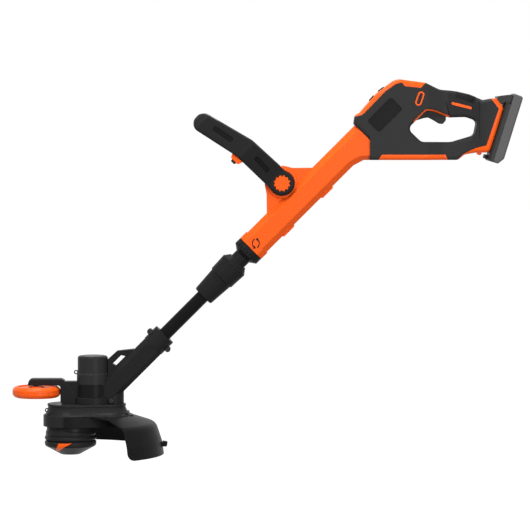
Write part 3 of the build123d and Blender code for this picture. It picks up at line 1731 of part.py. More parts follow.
for name, turn in tabs.items():
    with BuildPart() as buttons[name]:
        with BuildSketch(Plane.XZ):
            with BuildLine():
                Polyline(
                    (cap_floor_r - 2, 0.6),
                    (cap_floor_r, -tab_proud),
                    (rib_r, cap_rim_low - 1.5),
                    (rib_r + tab_proud, cap_rim_low + 2),
                    (rib_r + tab_proud, cap_rim_high - 2),
                    (cup_r - cap_wall + 2, cap_rim_high - 2),
                    (cup_r - cap_wall + 2, cap_rim_low + 2),
                    close=True,
                )
            make_face()
        revolve(axis=Axis.Z)
        with BuildSketch(turned(turn)):
            with BuildLine():
                Polyline(*tab_outline, close=True)
            make_face()
        extrude(amount=2 * rib_r, mode=Mode.INTERSECT)

# Screws of the head: clamp ring, clip bosses and guard
with BuildPart() as head_screws:
    for n in (lug_n, -lug_n):
        with BuildSketch(side.offset(neck_half / 2)):
            with Locations((clamp_mid, n)):
                Circle(screw_head_r)
        extrude(amount=screw_head_h)
        with BuildSketch(side.offset(neck_half / 2)):
            with Locations((clamp_mid, n)):
                Circle(screw_r)
        extrude(amount=-neck_half)
    for hand in (1, -1):
        with BuildSketch(Plane.XZ.offset(hand * (base_r + 1))):
            with Locations(clip_at):
                Circle(screw_head_r)
        extrude(amount=hand * screw_head_h)
        with BuildSketch(Plane.XZ.offset(hand * (base_r + 1))):
            with Locations(clip_at):
                Circle(screw_r)
        extrude(amount=-hand * clip_screw_len)
    with BuildSketch(Plane.XY.offset(guard_top - guard_wall)):
        with Locations(guard_screws):
            Circle(screw_head_r)
    extrude(amount=-screw_head_h)
    with BuildSketch(Plane.XY.offset(guard_top - guard_wall)):
        with Locations(guard_screws):
            Circle(screw_r)
    extrude(amount=motor_low - guard_top + guard_wall - seat_gap)

# Write every piece under its own name
pieces = {
    "body_left": body_left,
    "body_right": body_right,
    "handle_left": handle_left,
    "handle_right": handle_right,
    "top_cap": top_cap,
    "bottom_strip": bottom_strip,
    "battery_frame": battery_frame,
    "trigger_trim": trigger_trim,
    "grip_inlays": grip_inlays,
    "lock_off_bezels": lock_off_bezels,
    "lock_off_bar": lock_off_bar,
    "trigger": trigger,
    "trigger_pin": trigger_pin,
    "trigger_spring": trigger_spring,
    "switch_module": switch_module,
    "control_board": control_board,
    "housing_screws": housing_screws,
    "battery_dock": battery_dock,
    "battery_cover": battery_cover,
    "battery_case": battery_case,
    "battery_cells": battery_cells,
    "battery_latch": battery_latch,
    "aux_handle": aux_handle,
    "release_key": release_key,
    "release_pad": release_pad,
    "neck_sleeve": neck_sleeve,
    "clamp_collet": clamp_collet,
    "height_nut": height_nut,
    "edging_collar": edging_collar,
    "shaft_tube": shaft_tube,
    "head_left": head_left,
    "head_right": head_right,
    "head_clamp": head_clamp,
    "head_screws": head_screws,
    "motor_cover": motor_cover,
    "motor": motor,
    "motor_pinion": motor_pinion,
    "gear_case_upper": gear_case_upper,
    "gear_case_lower": gear_case_lower,
    "spindle_bearings": spindle_bearings,
    "spindle": spindle,
    "spindle_gear": spindle_gear,
    "wheel_arm": wheel_arm,
    "wheel_axle": wheel_axle,
    "edge_wheel": edge_wheel,
    "guard": guard,
    "line_cutter": line_cutter,
    "spool_housing": spool_housing,
    "line_eyelets": line_eyelets,
    "spool_drum": spool_drum,
    "line_winding": line_winding,
    "spool_cap": spool_cap,
}
pieces.update(buttons)
os.makedirs("parts", exist_ok=True)
for name, piece in pieces.items():
    piece.part.label = name
    export_step(piece.part, f"parts/{name}.step")
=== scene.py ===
# Frame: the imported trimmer, in metres, with the spool axis on Z and the shaft rising towards +X.
# Everything below dresses that frame or rides on one of its bodies.
import json
from math import atan2, cos, degrees, pi, radians, sin

import bmesh
import bpy
from mathutils import Matrix, Vector


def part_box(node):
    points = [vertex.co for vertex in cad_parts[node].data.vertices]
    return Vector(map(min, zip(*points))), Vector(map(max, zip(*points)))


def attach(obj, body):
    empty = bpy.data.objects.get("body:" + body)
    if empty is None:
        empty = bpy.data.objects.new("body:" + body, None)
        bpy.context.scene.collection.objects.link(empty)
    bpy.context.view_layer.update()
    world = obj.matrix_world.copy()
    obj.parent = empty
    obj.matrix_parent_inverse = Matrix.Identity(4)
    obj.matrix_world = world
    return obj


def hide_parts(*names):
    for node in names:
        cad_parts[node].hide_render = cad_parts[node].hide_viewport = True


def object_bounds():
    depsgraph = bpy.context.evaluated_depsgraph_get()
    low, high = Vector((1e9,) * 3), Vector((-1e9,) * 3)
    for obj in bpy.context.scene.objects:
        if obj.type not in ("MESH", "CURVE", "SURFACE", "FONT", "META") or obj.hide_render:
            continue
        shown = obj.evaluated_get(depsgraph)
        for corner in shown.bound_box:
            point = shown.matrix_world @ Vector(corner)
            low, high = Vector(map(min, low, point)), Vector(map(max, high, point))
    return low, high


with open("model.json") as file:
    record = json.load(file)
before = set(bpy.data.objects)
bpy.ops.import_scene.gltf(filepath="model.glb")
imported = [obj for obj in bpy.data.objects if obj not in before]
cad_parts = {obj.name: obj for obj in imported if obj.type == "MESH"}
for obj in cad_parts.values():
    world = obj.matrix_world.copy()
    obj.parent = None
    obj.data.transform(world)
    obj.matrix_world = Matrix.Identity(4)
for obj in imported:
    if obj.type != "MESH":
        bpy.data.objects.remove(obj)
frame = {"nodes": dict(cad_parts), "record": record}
cad_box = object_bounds()
nodes = frame["nodes"]
scene = bpy.context.scene
scene.view_settings.view_transform = "Standard"
bpy.ops.object.select_all(action="DESELECT")

# View: a long lens at about the height of the rear handle, square on to the left side.
# The frame is as wide as the photograph's at the shaft's own plane.
view_centre = Vector((0.316, 0.0, 0.307))
view_width = 0.8586
view_distance = 4.9
view_rise = radians(3.1)
film_width = 36
bpy.ops.object.camera_add(
    location=view_centre + view_distance * Vector((0, -cos(view_rise), sin(view_rise))),
    rotation=(pi / 2 - view_rise, 0, 0),
)
camera = bpy.context.object
camera.data.sensor_width = film_width
camera.data.lens = film_width * view_distance / view_width
camera.data.clip_end = 60
scene.camera = camera


# Studio: a pale floor, a white surround and broad soft lamps, with the trimmer hung in the air.
# Under it is room for the head, which comes down as the shaft is drawn out or turned for edging.
# Shader sums are written as expressions on this class, which adds the nodes.
class Signal:
    """An output socket in a node tree; arithmetic on it adds Math nodes."""

    def __init__(self, tree, socket=None):
        self.tree = tree
        self.socket = socket

    def node(self, kind, settings=None, inputs=None, out=0):
        """Add a node: its settings first, then the values or links of its sockets."""
        made = self.tree.nodes.new("ShaderNode" + kind)
        for key, value in (settings or {}).items():
            setattr(made, key, value)
        for key, value in (inputs or {}).items():
            socket = made.inputs[key]
            if isinstance(value, Signal):
                self.tree.links.new(value.socket, socket)
            else:
                socket.default_value = value
        return Signal(self.tree, made.outputs[out] if len(made.outputs) else None)

    def maths(self, operation, first, second=0.0):
        return self.node("Math", {"operation": operation}, {0: first, 1: second})

    def __add__(self, other):
        return self.maths("ADD", self, other)

    __radd__ = __add__

    def __sub__(self, other):
        return self.maths("SUBTRACT", self, other)

    def __rsub__(self, other):
        return self.maths("SUBTRACT", other, self)

    def __mul__(self, other):
        return self.maths("MULTIPLY", self, other)

    __rmul__ = __mul__

    def sine(self):
        return self.maths("SINE", self)

    def rise(self, low, high):
        """A smooth rise from 0 to 1 as this value goes from low to high."""
        return self.node(
            "MapRange",
            {"interpolation_type": "SMOOTHSTEP"},
            {"Value": self, "From Min": low, "From Max": high},
        )

    def between(self, low, high, soft):
        """1 from low to high, falling smoothly to 0 over a soft margin outside."""
        return self.rise(low - soft, low) * (1 - self.rise(high, high + soft))

    def along(self, axis):
        """One coordinate of this vector."""
        return self.node("SeparateXYZ", inputs={0: self}, out=axis)

    def noise(self, scale, detail):
        """Noise at this place."""
        return self.node("TexNoise", inputs={"Vector": self, "Scale": scale, "Detail": detail})

    def mix(self, share, first, second):
        """A colour that goes from the first to the second as the share goes from 0 to 1."""
        first, second = [c if isinstance(c, Signal) else (*c, 1) for c in (first, second)]
        return self.node("MixRGB", inputs={"Fac": share, "Color1": first, "Color2": second})

    def bump(self, height, depth, strength, normal):
        """A normal that shows this height, up to a depth in metres."""
        return self.node(
            "Bump",
            inputs={"Strength": strength, "Distance": depth, "Height": height, "Normal": normal},
        )


def bare_tree(owner):
    owner.use_nodes = True
    owner.node_tree.nodes.clear()
    return Signal(owner.node_tree)


def seen_directly(tree):
    """1 on the way to the camera, also by a reflection or through something clear, or else 0."""
    rays = ("Is Camera Ray", "Is Glossy Ray", "Is Transmission Ray")
    straight, glossy, clear = [tree.node("LightPath", out=ray) for ray in rays]
    return tree.maths("MINIMUM", straight + glossy + clear, 1.0)


white = (1, 1, 1, 1)
sky_low, sky_rise, sky_from, sky_to = 0.12, 0.36, -0.1, 0.9
scene.world = bpy.data.worlds.new("studio")
air = bare_tree(scene.world)
shown = seen_directly(air)
overhead = air.node("TexCoord", out="Generated").along("Z")
sky_light = sky_low + sky_rise * overhead.rise(sky_from, sky_to)
surround = air.node(
    "Background", inputs={"Color": white, "Strength": shown + (1 - shown) * sky_light}
)
air.node("OutputWorld", inputs={"Surface": surround})

floor_size, floor_drop = 30, 0.15
floor_glow, glow_share = 1.13, 0.86
paper_seen, paper_thrown = (0.9, 0.9, 0.9), (0.3, 0.3, 0.3)
bpy.ops.mesh.primitive_plane_add(size=floor_size, location=(0.3, 0, cad_box[0].z - floor_drop))
floor = bpy.context.object
floor.name = "floor"
paper = bpy.data.materials.new("paper_floor")
floor.data.materials.append(paper)
sheet = bare_tree(paper)
tint = sheet.mix(sheet.node("LightPath", out="Is Camera Ray"), paper_thrown, paper_seen)
shade = sheet.node("BsdfDiffuse", inputs={"Color": tint})
glow = sheet.node("Emission", inputs={"Color": white, "Strength": floor_glow})
lit = sheet.node("MixShader", inputs={0: glow_share * seen_directly(sheet), 1: shade, 2: glow})
sheet.node("OutputMaterial", inputs={"Surface": lit})

for name, place, aim, size, power in (
    ("lamp_key", (-0.8, -2.3, 2.8), (0.3, 0, 0.3), 1.5, 82),
    ("lamp_fill", (1.5, -3.0, 0.2), (0.4, 0, 0.35), 1.5, 60),
    ("lamp_top", (0.0, 0.4, 2.6), (0.3, 0, 0.3), 1.2, 40),
):
    bpy.ops.object.light_add(type="AREA", location=place)
    lamp = bpy.context.object
    lamp.name = name
    lamp.rotation_euler = (Vector(aim) - Vector(place)).to_track_quat("-Z", "Y").to_euler()
    lamp.data.size = size
    lamp.data.energy = power

# Orange body tube: two polypropylene shells with a fine spark-eroded skin, screwed together.
# The same moulding recipe, with other colours and grain, serves the other plastics.
flow_scale, flow_dull, skin_strength = 26.0, 0.12, 0.35
# The edge band: where it starts and where it is full, how much smoother it is, and how pale its
# painted highlight turns.
edge_from, edge_to, edge_polish, edge_pale = 0.01, 0.16, 0.08, 0.01


def moulded(
    name, colour, dull=0.42, grain=1500.0, depth=0.00010, mottle=0.05, shine=0.2, soft=0.0009,
    edge_sheen=0.25, zone=None,
):
    """Moulded plastic: flow mottling, eroded grain, and softened edges with a painted highlight
    along them.

    dull is its roughness and shine its specular level, grain and depth are those of the skin,
    soft is the radius of its edges, and the argument after it the strength of the painted
    highlight along them. A zone changes it in some places.
    """
    made = bpy.data.materials.new(name)
    tree = bare_tree(made)
    place = tree.node("TexCoord", out="Object")
    flow = place.noise(flow_scale, 3.0)
    pits = place.noise(grain, 2.0)
    rounded = tree.node("Bevel", {"samples": 4}, {"Radius": soft})
    facing = tree.node("NewGeometry", out="Normal")
    turned = tree.node(
        "VectorMath", {"operation": "DOT_PRODUCT"}, {0: rounded, 1: facing}, out="Value"
    )
    edge = (1 - turned).rise(edge_from, edge_to)
    dark = [c * (1 - mottle) for c in colour]
    light = [min(1, c * (1 + mottle)) for c in colour]
    # Painted highlight: a paler tone laid along the edges, standing in for light caught on them.
    sheen_tone = [min(1, c * (1 + edge_sheen) + edge_pale * edge_sheen) for c in colour]
    tone = tree.mix(edge * flow, tree.mix(flow, dark, light), sheen_tone)
    rough = dull - flow_dull / 2 + flow_dull * flow - edge_polish * edge
    bump = tree.bump(pits, depth, skin_strength, rounded)
    if zone:
        tone, rough, bump = zone(tree, place, tone, rough, bump)
    skin = tree.node("BsdfPrincipled", inputs={
        "Base Color": tone, "Roughness": rough, "Normal": bump, "Specular IOR Level": shine,
    })
    tree.node("OutputMaterial", inputs={"Surface": skin})
    return made


def dress(material, *names):
    for name in names:
        slots = nodes[name].data.materials
        slots.clear()
        slots.append(material)


orange = moulded("orange_moulding", (0.96, 0.116, 0.010), dull=0.31, shine=0.10)
dress(orange, "body_left", "body_right")


# Turn sign: two black arc arrows round an upright oval, on the tube above the edging collar.
# They are pad printed, so they stand hardly proud of the plastic.
def pick(kind, test):
    """Select just the elements of the edited mesh that pass the test."""
    bpy.ops.mesh.select_mode(type=kind)
    bpy.ops.mesh.select_all(action="DESELECT")
    made = bmesh.from_edit_mesh(bpy.context.object.data)
    for element in {"VERT": made.verts, "EDGE": made.edges, "FACE": made.faces}[kind]:
        element.select_set(test(element))
    made.select_flush_mode()
    bmesh.update_edit_mesh(bpy.context.object.data)


def take(*pieces):
    """Select just these pieces, the first of them active."""
    bpy.ops.object.select_all(action="DESELECT")
    for piece in pieces:
        piece.select_set(True)
    bpy.context.view_layer.objects.active = pieces[0]


def settle(piece, name, material, body, place=None):
    """Apply a piece's place to its mesh, dress it and let it ride on its body."""
    if place is not None:
        piece.matrix_world = place
    take(piece)
    bpy.ops.object.transform_apply(location=True, rotation=True, scale=True)
    piece.name = name
    piece.data.materials.clear()
    piece.data.materials.append(material)
    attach(piece, body)
    piece.select_set(False)


def use(piece, kind, **settings):
    """Add a modifier with these settings and apply it."""
    bpy.context.view_layer.objects.active = piece
    made = piece.modifiers.new(kind.lower(), kind)
    for key, value in settings.items():
        setattr(made, key, value)
    bpy.ops.object.modifier_apply(modifier=made.name)


def joined(*parts):
    take(*parts)
    bpy.ops.object.join()
    return bpy.context.object


def side_place(x, z, turn, level, hand=1):
    """Place on the left side, or on the right for hand -1: local X at the turn, Z outwards."""
    place = Matrix.Translation((x, -hand * level, z)) @ Matrix.Rotation(-turn, 4, "Y")
    return place @ Matrix.Rotation(hand * pi / 2, 4, "X")


body_face = -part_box("body_left")[0].y
sign_x, sign_z = 0.3012, 0.3430
sign_tall, sign_squeeze = 0.0082, 0.78
sign_line, sign_thick = 0.0021, 0.00016
arc_starts, arc_sweep, tip_sweep = (-72, 108), 136, 138
tip_r = 1.7 * sign_line
tip_at = sign_tall - sign_line / 2
sign_parts = []
for start in arc_starts:
    bpy.ops.mesh.primitive_circle_add(vertices=72, radius=sign_tall, fill_type="NOTHING")
    arc = bpy.context.object
    bpy.ops.object.mode_set(mode="EDIT")
    pick("VERT", lambda v: (degrees(atan2(v.co.y, v.co.x)) - start) % 360 > arc_sweep)
    bpy.ops.mesh.delete(type="VERT")
    bpy.ops.mesh.select_all(action="SELECT")
    bpy.ops.mesh.extrude_region_move()
    bpy.ops.transform.resize(value=(1 - sign_line / sign_tall,) * 3, center_override=(0, 0, 0))
    bpy.ops.object.mode_set(mode="OBJECT")
    tip = radians(start + tip_sweep)
    bpy.ops.mesh.primitive_circle_add(
        vertices=3,
        radius=tip_r,
        fill_type="NGON",
        location=(tip_at * cos(tip), tip_at * sin(tip), 0),
        rotation=(0, 0, tip),
    )
    sign_parts += [arc, bpy.context.object]
sign = joined(*sign_parts)
bpy.ops.object.mode_set(mode="EDIT")
bpy.ops.mesh.select_all(action="SELECT")
bpy.ops.transform.resize(value=(sign_squeeze, 1, 1), center_override=(0, 0, 0))
bpy.ops.mesh.normals_make_consistent(inside=False)
bpy.ops.object.mode_set(mode="OBJECT")
use(sign, "SOLIDIFY", thickness=sign_thick, offset=0)
ink = moulded("sign_ink", (0.008, 0.0075, 0.0075), dull=0.5, shine=0.1, soft=0.0002)
sign_place = side_place(sign_x, sign_z, 0, body_face)
settle(sign, "turn_sign", ink, "housing", sign_place)

# Neck: the swivelling sleeve, edging collar and height nut, in harder, glossier black nylon.
# Below them the shaft is a drawn tube with a smooth powder coat.
nylon_black = moulded(
    "black_nylon", (0.0165, 0.0165, 0.0170), dull=0.26, grain=900.0, depth=0.00004, shine=0.03,
    soft=0.0012, edge_sheen=0.6,
)
dress(nylon_black, "neck_sleeve", "edging_collar", "height_nut", "clamp_collet")
coat = moulded(
    "powder_coat", (0.0060, 0.0060, 0.0063), dull=0.20, grain=2600.0, depth=0.00005, mottle=0.1,
    shine=0.06, soft=0.0004,
)
dress(coat, "shaft_tube")

# Front handle: a black stirrup moulded in one piece, with its edges rolled over along arms and bar.
# The roll stops at the pivot eye, the key slot and the bare slots, whose rims stay crisp.
# It clips on at the pivot, with orange buttons there and an orange key under the bar.
joints = frame["record"]["behaviour"]["joints"]
pivot = Vector(next(j for j in joints if j["name"] == "front_handle_tilt")["pos_m"])
key_low, key_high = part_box("release_key")
handle_roll, roll_from = 0.0034, radians(40)
eye_clear, slot_clear, key_clear = 0.0165, 0.0056, 0.004
# Each slot: its middle along and square to the shaft from the pivot, half its length, its lean
slot_lines = [(-0.011, 0.1229, 0.0146, 100.5), (-0.0013, 0.0444, 0.0121, 87.0)]
# Painted shade in the slots: where it fades out, its strength, the roughness it adds and its
# near-black colour.
shade_in, shade_out = 0.0036, 0.0046
shade_share, shade_dull, shade_black = 0.62, 0.1, (0.003, 0.003, 0.003)


def copied(piece, place):
    """A copy with its own mesh, moved from the origin to a place."""
    take(piece)
    bpy.ops.object.duplicate()
    twin = bpy.context.object
    twin.matrix_world = place
    bpy.ops.object.transform_apply(location=True, rotation=True, scale=True)
    return twin


def slot_offsets(x, z):
    """For each slot: how far a place lies along it and off its line, and half its length."""
    x, z = x - pivot.x, z - pivot.z
    s, n = (x + z) * 2**-0.5, (z - x) * 2**-0.5
    for slot_s, slot_n, half, lean in slot_lines:
        turn = radians(lean)
        down = (s - slot_s) * cos(turn) + (n - slot_n) * sin(turn)
        off = (n - slot_n) * cos(turn) - (s - slot_s) * sin(turn)
        yield down, off, half


def rolls(edge):
    """Whether an edge of the stirrup is rolled over."""
    if len(edge.link_faces) != 2 or not edge.is_convex or edge.calc_face_angle() < roll_from:
        return False
    middle = (edge.verts[0].co + edge.verts[1].co) / 2
    if (middle.x - pivot.x) ** 2 + (middle.z - pivot.z) ** 2 < eye_clear**2:
        return False
    for down, off, half in slot_offsets(middle.x, middle.z):
        over = max(0, abs(down) - half)
        if over * over + off * off < slot_clear**2:
            return False
    return not all(
        key_low[i] - key_clear < middle[i] < key_high[i] + key_clear for i in range(3)
    )


def slot_shade(tree, place, tone, rough, bump):
    """Painted shade in the bare slots: their floors darkened towards black, and made rougher."""
    sunk = 0.0
    for down, off, half in slot_offsets(place.along("X"), place.along("Z")):
        over = tree.maths("MAXIMUM", tree.maths("ABSOLUTE", down) - half, 0.0)
        away = tree.maths("SQRT", over * over + off * off)
        sunk = sunk + (1 - away.rise(shade_in, shade_out))
    return tree.mix(shade_share * sunk, tone, shade_black), rough + shade_dull * sunk, bump


handle_skin = moulded(
    "handle_skin", (0.0185, 0.0185, 0.019), dull=0.34, grain=1100.0, depth=0.00010, shine=0.04,
    soft=0.0010, edge_sheen=0.5, zone=slot_shade,
)
stirrup = copied(nodes["aux_handle"], Matrix())
bpy.ops.object.mode_set(mode="EDIT")
bpy.ops.mesh.select_all(action="SELECT")
bpy.ops.mesh.remove_doubles(threshold=0.00001)
bpy.ops.mesh.dissolve_limited(angle_limit=radians(0.4))
made = bmesh.from_edit_mesh(stirrup.data)
layers = made.edges.layers.float
weight = layers.get("bevel_weight_edge") or layers.new("bevel_weight_edge")
for edge in made.edges:
    edge[weight] = 1.0 if rolls(edge) else 0.0
bmesh.update_edit_mesh(stirrup.data)
bpy.ops.object.mode_set(mode="OBJECT")
use(
    stirrup, "BEVEL", width=handle_roll, segments=4, limit_method="WEIGHT",
    use_clamp_overlap=False,
)
bpy.ops.object.shade_smooth_by_angle(angle=radians(35))
use(stirrup, "WEIGHTED_NORMAL", keep_sharp=True, weight=100)
settle(stirrup, "front_handle_stirrup", handle_skin, "front_handle")
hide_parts("aux_handle")
dress(handle_skin, "aux_handle")
dress(orange, "angle_button_left", "angle_button_right", "release_key")
dress(nylon_black, "release_pad")

# Rear handle: a glass-filled black clamshell, softer and rougher where the hand goes round it.
# Orange cap, strip, battery frame, trigger trim and inlays are snapped in from outside.
grip_start, grip_end, grip_low, grip_full = 0.6105, 0.6595, 0.538, 0.540
grip_soft, groove_soft = 0.001, 0.002
front_slant, front_low, front_high = 0.25, 0.5505, 0.570
front_groove, front_margin = (0.7497, 0.7503), 0.0007
rear_low, rear_high = 0.512, 0.572
rear_groove, rear_margin = (0.6608, 0.6612), 0.0006
rubber_share, rubber_dull, rubber_black = 0.28, 0.12, (0.013, 0.0125, 0.013)
groove_shade_share, groove_depth, groove_shade_black = 0.7, 0.0006, (0.004, 0.004, 0.004)


def soft_grip(tree, place, tone, rough, bump):
    """Rubber overmoulded on the grip, darker and duller; the grooves where it begins and ends get
    painted shade.
    """
    x, z = place.along("X"), place.along("Z")
    over = x.between(grip_start, grip_end, grip_soft) * z.rise(grip_low, grip_full)
    slant = (x + front_slant * z).between(*front_groove, front_margin)
    upright = x.between(*rear_groove, rear_margin)
    groove = slant * z.between(front_low, front_high, groove_soft)
    groove = groove + upright * z.between(rear_low, rear_high, groove_soft)
    tone = tree.mix(rubber_share * over, tone, rubber_black)
    # Painted shade: the grooves are mixed towards black as if shadowed.
    tone = tree.mix(groove_shade_share * groove, tone, groove_shade_black)
    return tone, rough + rubber_dull * over, tree.bump(1 - groove, groove_depth, 1.0, bump)


black_tone = (0.0310, 0.0310, 0.0315)
black = moulded("black_moulding", black_tone, dull=0.36, shine=0.05, soft=0.0012, edge_sheen=0.4)
grip_black = moulded(
    "grip_moulding", black_tone, dull=0.48, shine=0.05, soft=0.0016, edge_sheen=0.4, zone=soft_grip
)
dress(grip_black, "handle_left", "handle_right")
dress(orange, "top_cap", "bottom_strip", "battery_frame")
dress(orange, "trigger_trim", "grip_inlays", "lock_off_bezels")

# Grip ribs: twenty fine ribs moulded over the back of the grip, where the palm bears.
# One bent bar is modelled and copied along the grip, following its top and its width.
grip_side = nodes["handle_left"]
rib_first, rib_last, rib_count = 0.6247, 0.6546, 20
rib_half, rib_drop, rib_corner, rib_r = 0.0175, 0.0105, 0.006, 0.00046
above_grip, beside_grip, beside_seam = 0.7, -0.1, -0.003
slope_run = 0.002
bpy.ops.mesh.primitive_plane_add(size=1, rotation=(0, pi / 2, 0))
bpy.ops.object.transform_apply(rotation=True)
bpy.ops.object.mode_set(mode="EDIT")
bpy.ops.mesh.select_all(action="SELECT")
bpy.ops.transform.resize(value=(1, 2 * rib_half, rib_drop))
bpy.ops.transform.translate(value=(0, 0, -rib_drop / 2))
pick("VERT", lambda v: v.co.z > -rib_drop / 2)
bpy.ops.mesh.bevel(offset=rib_corner, segments=6, affect="VERTICES")
pick("EDGE", lambda e: all(v.co.z < -rib_drop * 0.9 for v in e.verts))
bpy.ops.mesh.delete(type="EDGE")
bpy.ops.object.mode_set(mode="OBJECT")
bpy.ops.object.convert(target="CURVE")
wire = bpy.context.object.data
wire.bevel_depth = rib_r
wire.bevel_resolution = 1
wire.use_fill_caps = True
bpy.ops.object.convert(target="MESH")
rib = bpy.context.object


def grip_top(x):
    """Height of the back of the grip, close to its seam."""
    return grip_side.ray_cast(Vector((x, beside_seam, above_grip)), Vector((0, 0, -1)))[1].z


def grip_wide(x, z):
    """Half the width of the grip."""
    return -grip_side.ray_cast(Vector((x, beside_grip, z)), Vector((0, 1, 0)))[1].y


ribs = []
for i in range(rib_count):
    x = rib_first + (rib_last - rib_first) * i / (rib_count - 1)
    top = grip_top(x)
    lean = atan2(grip_top(x - slope_run) - grip_top(x + slope_run), 2 * slope_run)
    widen = grip_wide(x, top - 0.8 * rib_drop) / rib_half
    place = Matrix.Translation((x, 0, top)) @ Matrix.Rotation(lean, 4, "Y")
    ribs.append(copied(rib, place @ Matrix.Diagonal((1, widen, 1, 1))))
bpy.data.objects.remove(rib)
grip_ribs = joined(*ribs)
bpy.ops.object.shade_smooth_by_angle(angle=radians(50))
settle(grip_ribs, "grip_ribs", grip_black, "housing")

# Badge plate: a plain dark plate with a low rim, let into the left side of the housing.
# It is bare, as is the plate on the motor, which is the same film bent round the cover.
badge_x, badge_z, badge_turn = 0.5087, 0.5502, radians(45)
badge_long, badge_wide, badge_thick, badge_edge = 0.054, 0.0267, 0.0012, 0.00012
housing_face, badge_proud = 0.027, 0.0008
streak_scale, streak_dull = (40, 40, 900), 0.10


def rounded_plate(long, wide, corner, rim, sink):
    """A flat plate in its own plane: round corners, a raised rim and a sunk middle."""
    bpy.ops.mesh.primitive_plane_add(size=1)
    plate = bpy.context.object
    bpy.ops.object.mode_set(mode="EDIT")
    bpy.ops.mesh.select_all(action="SELECT")
    bpy.ops.transform.resize(value=(long, wide, 1))
    bpy.ops.mesh.bevel(offset=corner, segments=7, affect="VERTICES")
    bpy.ops.mesh.select_all(action="SELECT")
    bpy.ops.mesh.inset(thickness=rim)
    bpy.ops.mesh.inset(thickness=sink)
    bpy.ops.transform.translate(value=(0, 0, -sink))
    bpy.ops.object.mode_set(mode="OBJECT")
    return plate


def film_streaks(tree, place, tone, rough, bump):
    """Calendered film: faint streaks in its gloss along the plate."""
    drawn = tree.node("Mapping", inputs={
        "Vector": place, "Rotation": (0, badge_turn, 0), "Scale": streak_scale,
    })
    return tone, rough + streak_dull * drawn.noise(1.0, 2.0), bump


plate_film = moulded(
    "plate_film", (0.0085, 0.0085, 0.009), dull=0.30, grain=3000.0, depth=0.00003, shine=0.06,
    soft=0.0004, edge_sheen=0.8, zone=film_streaks,
)
badge = rounded_plate(badge_long, badge_wide, corner=0.0042, rim=0.0013, sink=0.0004)
use(badge, "SOLIDIFY", thickness=badge_thick, offset=-1)
use(badge, "BEVEL", width=badge_edge, segments=2, limit_method="ANGLE", angle_limit=radians(50))
badge_place = side_place(badge_x, badge_z, badge_turn, housing_face + badge_proud)
settle(badge, "badge_plate", plate_film, "housing", badge_place)

# Lock-off bar: a cross slide with a pad at each side, ribbed for the thumb.
# Trigger, switch and electronics sit behind it, and two buttons in the orange cap.
dress(black, "trigger", "lock_off_bar", "feed_button", "speed_button", "switch_module")
pad_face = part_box("lock_off_bar")[1].y
lock_x, lock_z, lock_tilt = 0.5647, 0.5762, radians(71)
rung_long, rung_thick, rung_edge, rung_step = 0.0038, 0.0010, 0.0003, 0.0022
bpy.ops.mesh.primitive_cube_add(size=1)
rung = bpy.context.object
bpy.ops.object.mode_set(mode="EDIT")
bpy.ops.mesh.select_all(action="SELECT")
bpy.ops.transform.resize(value=(rung_thick, rung_long, rung_thick))
bpy.ops.mesh.bevel(offset=rung_edge, segments=2)
bpy.ops.object.mode_set(mode="OBJECT")
rungs = []
for hand in (1, -1):
    pad = side_place(lock_x, lock_z, lock_tilt, pad_face, hand)
    rungs += [copied(rung, pad @ Matrix.Translation((i * rung_step, 0, 0))) for i in range(-3, 4)]
bpy.data.objects.remove(rung)
settle(joined(*rungs), "lock_off_rungs", black, "lock_off")

# Metal pieces: turned pins, springs, screws, spindle, bearings and motor can, bright or blackened.
# Gears are natural nylon, and the control board is glass-epoxy with copper under green lacquer.
mark_scale, mark_stretch = 1400.0, (1.0, 1.0, 0.08)
mark_depth, mark_strength, mark_dull = 0.00004, 0.2, 0.16
oil_scale, oil_dark, steel_edge = 60.0, 0.82, 0.0003


def steel(name, colour, dull=0.32):
    """Drawn or turned steel: fine marks across the gloss and a faint oily tone."""
    made = bpy.data.materials.new(name)
    tree = bare_tree(made)
    place = tree.node("TexCoord", out="Object")
    drawn = tree.node("Mapping", inputs={"Vector": place, "Scale": mark_stretch})
    mark = drawn.noise(mark_scale, 2.0)
    tone = tree.mix(place.noise(oil_scale, 3.0), [oil_dark * c for c in colour], colour)
    rounded = tree.node("Bevel", {"samples": 4}, {"Radius": steel_edge})
    skin = tree.node("BsdfPrincipled", inputs={
        "Base Color": tone,
        "Metallic": 1.0,
        "Roughness": dull - mark_dull / 2 + mark_dull * mark,
        "Normal": tree.bump(mark, mark_depth, mark_strength, rounded),
    })
    tree.node("OutputMaterial", inputs={"Surface": skin})
    return made


bright_steel = steel("bright_steel", (0.56, 0.55, 0.53))
black_steel = steel("black_screw_steel", (0.050, 0.050, 0.052), dull=0.38)
dress(bright_steel, "trigger_pin", "trigger_spring")
dress(bright_steel, "motor", "motor_pinion", "spindle", "spindle_bearings")
dress(black_steel, "housing_screws", "head_screws", "wheel_axle")
gear_nylon = moulded(
    "gear_nylon", (0.62, 0.58, 0.48), dull=0.4, grain=700.0, shine=0.3, soft=0.0003
)
dress(gear_nylon, "spindle_gear")
run_scale, run_shift, run_wide = 160.0, 0.37, 0.03
copper_share, copper_green = 0.6, (0.05, 0.20, 0.06)


def board_copper(tree, place, tone, rough, bump):
    """Copper runs showing paler through the lacquer."""
    runs = tree.node("TexBrick", {"offset": run_shift}, {
        "Vector": place, "Scale": run_scale, "Mortar Size": run_wide,
        "Color1": (0, 0, 0, 1), "Color2": (0.25, 0.25, 0.25, 1), "Mortar": white,
    })
    return tree.mix(copper_share * runs, tone, copper_green), rough, bump


board_green = moulded(
    "board_lacquer", (0.012, 0.085, 0.025), dull=0.3, shine=0.3, zone=board_copper
)
dress(board_green, "control_board")

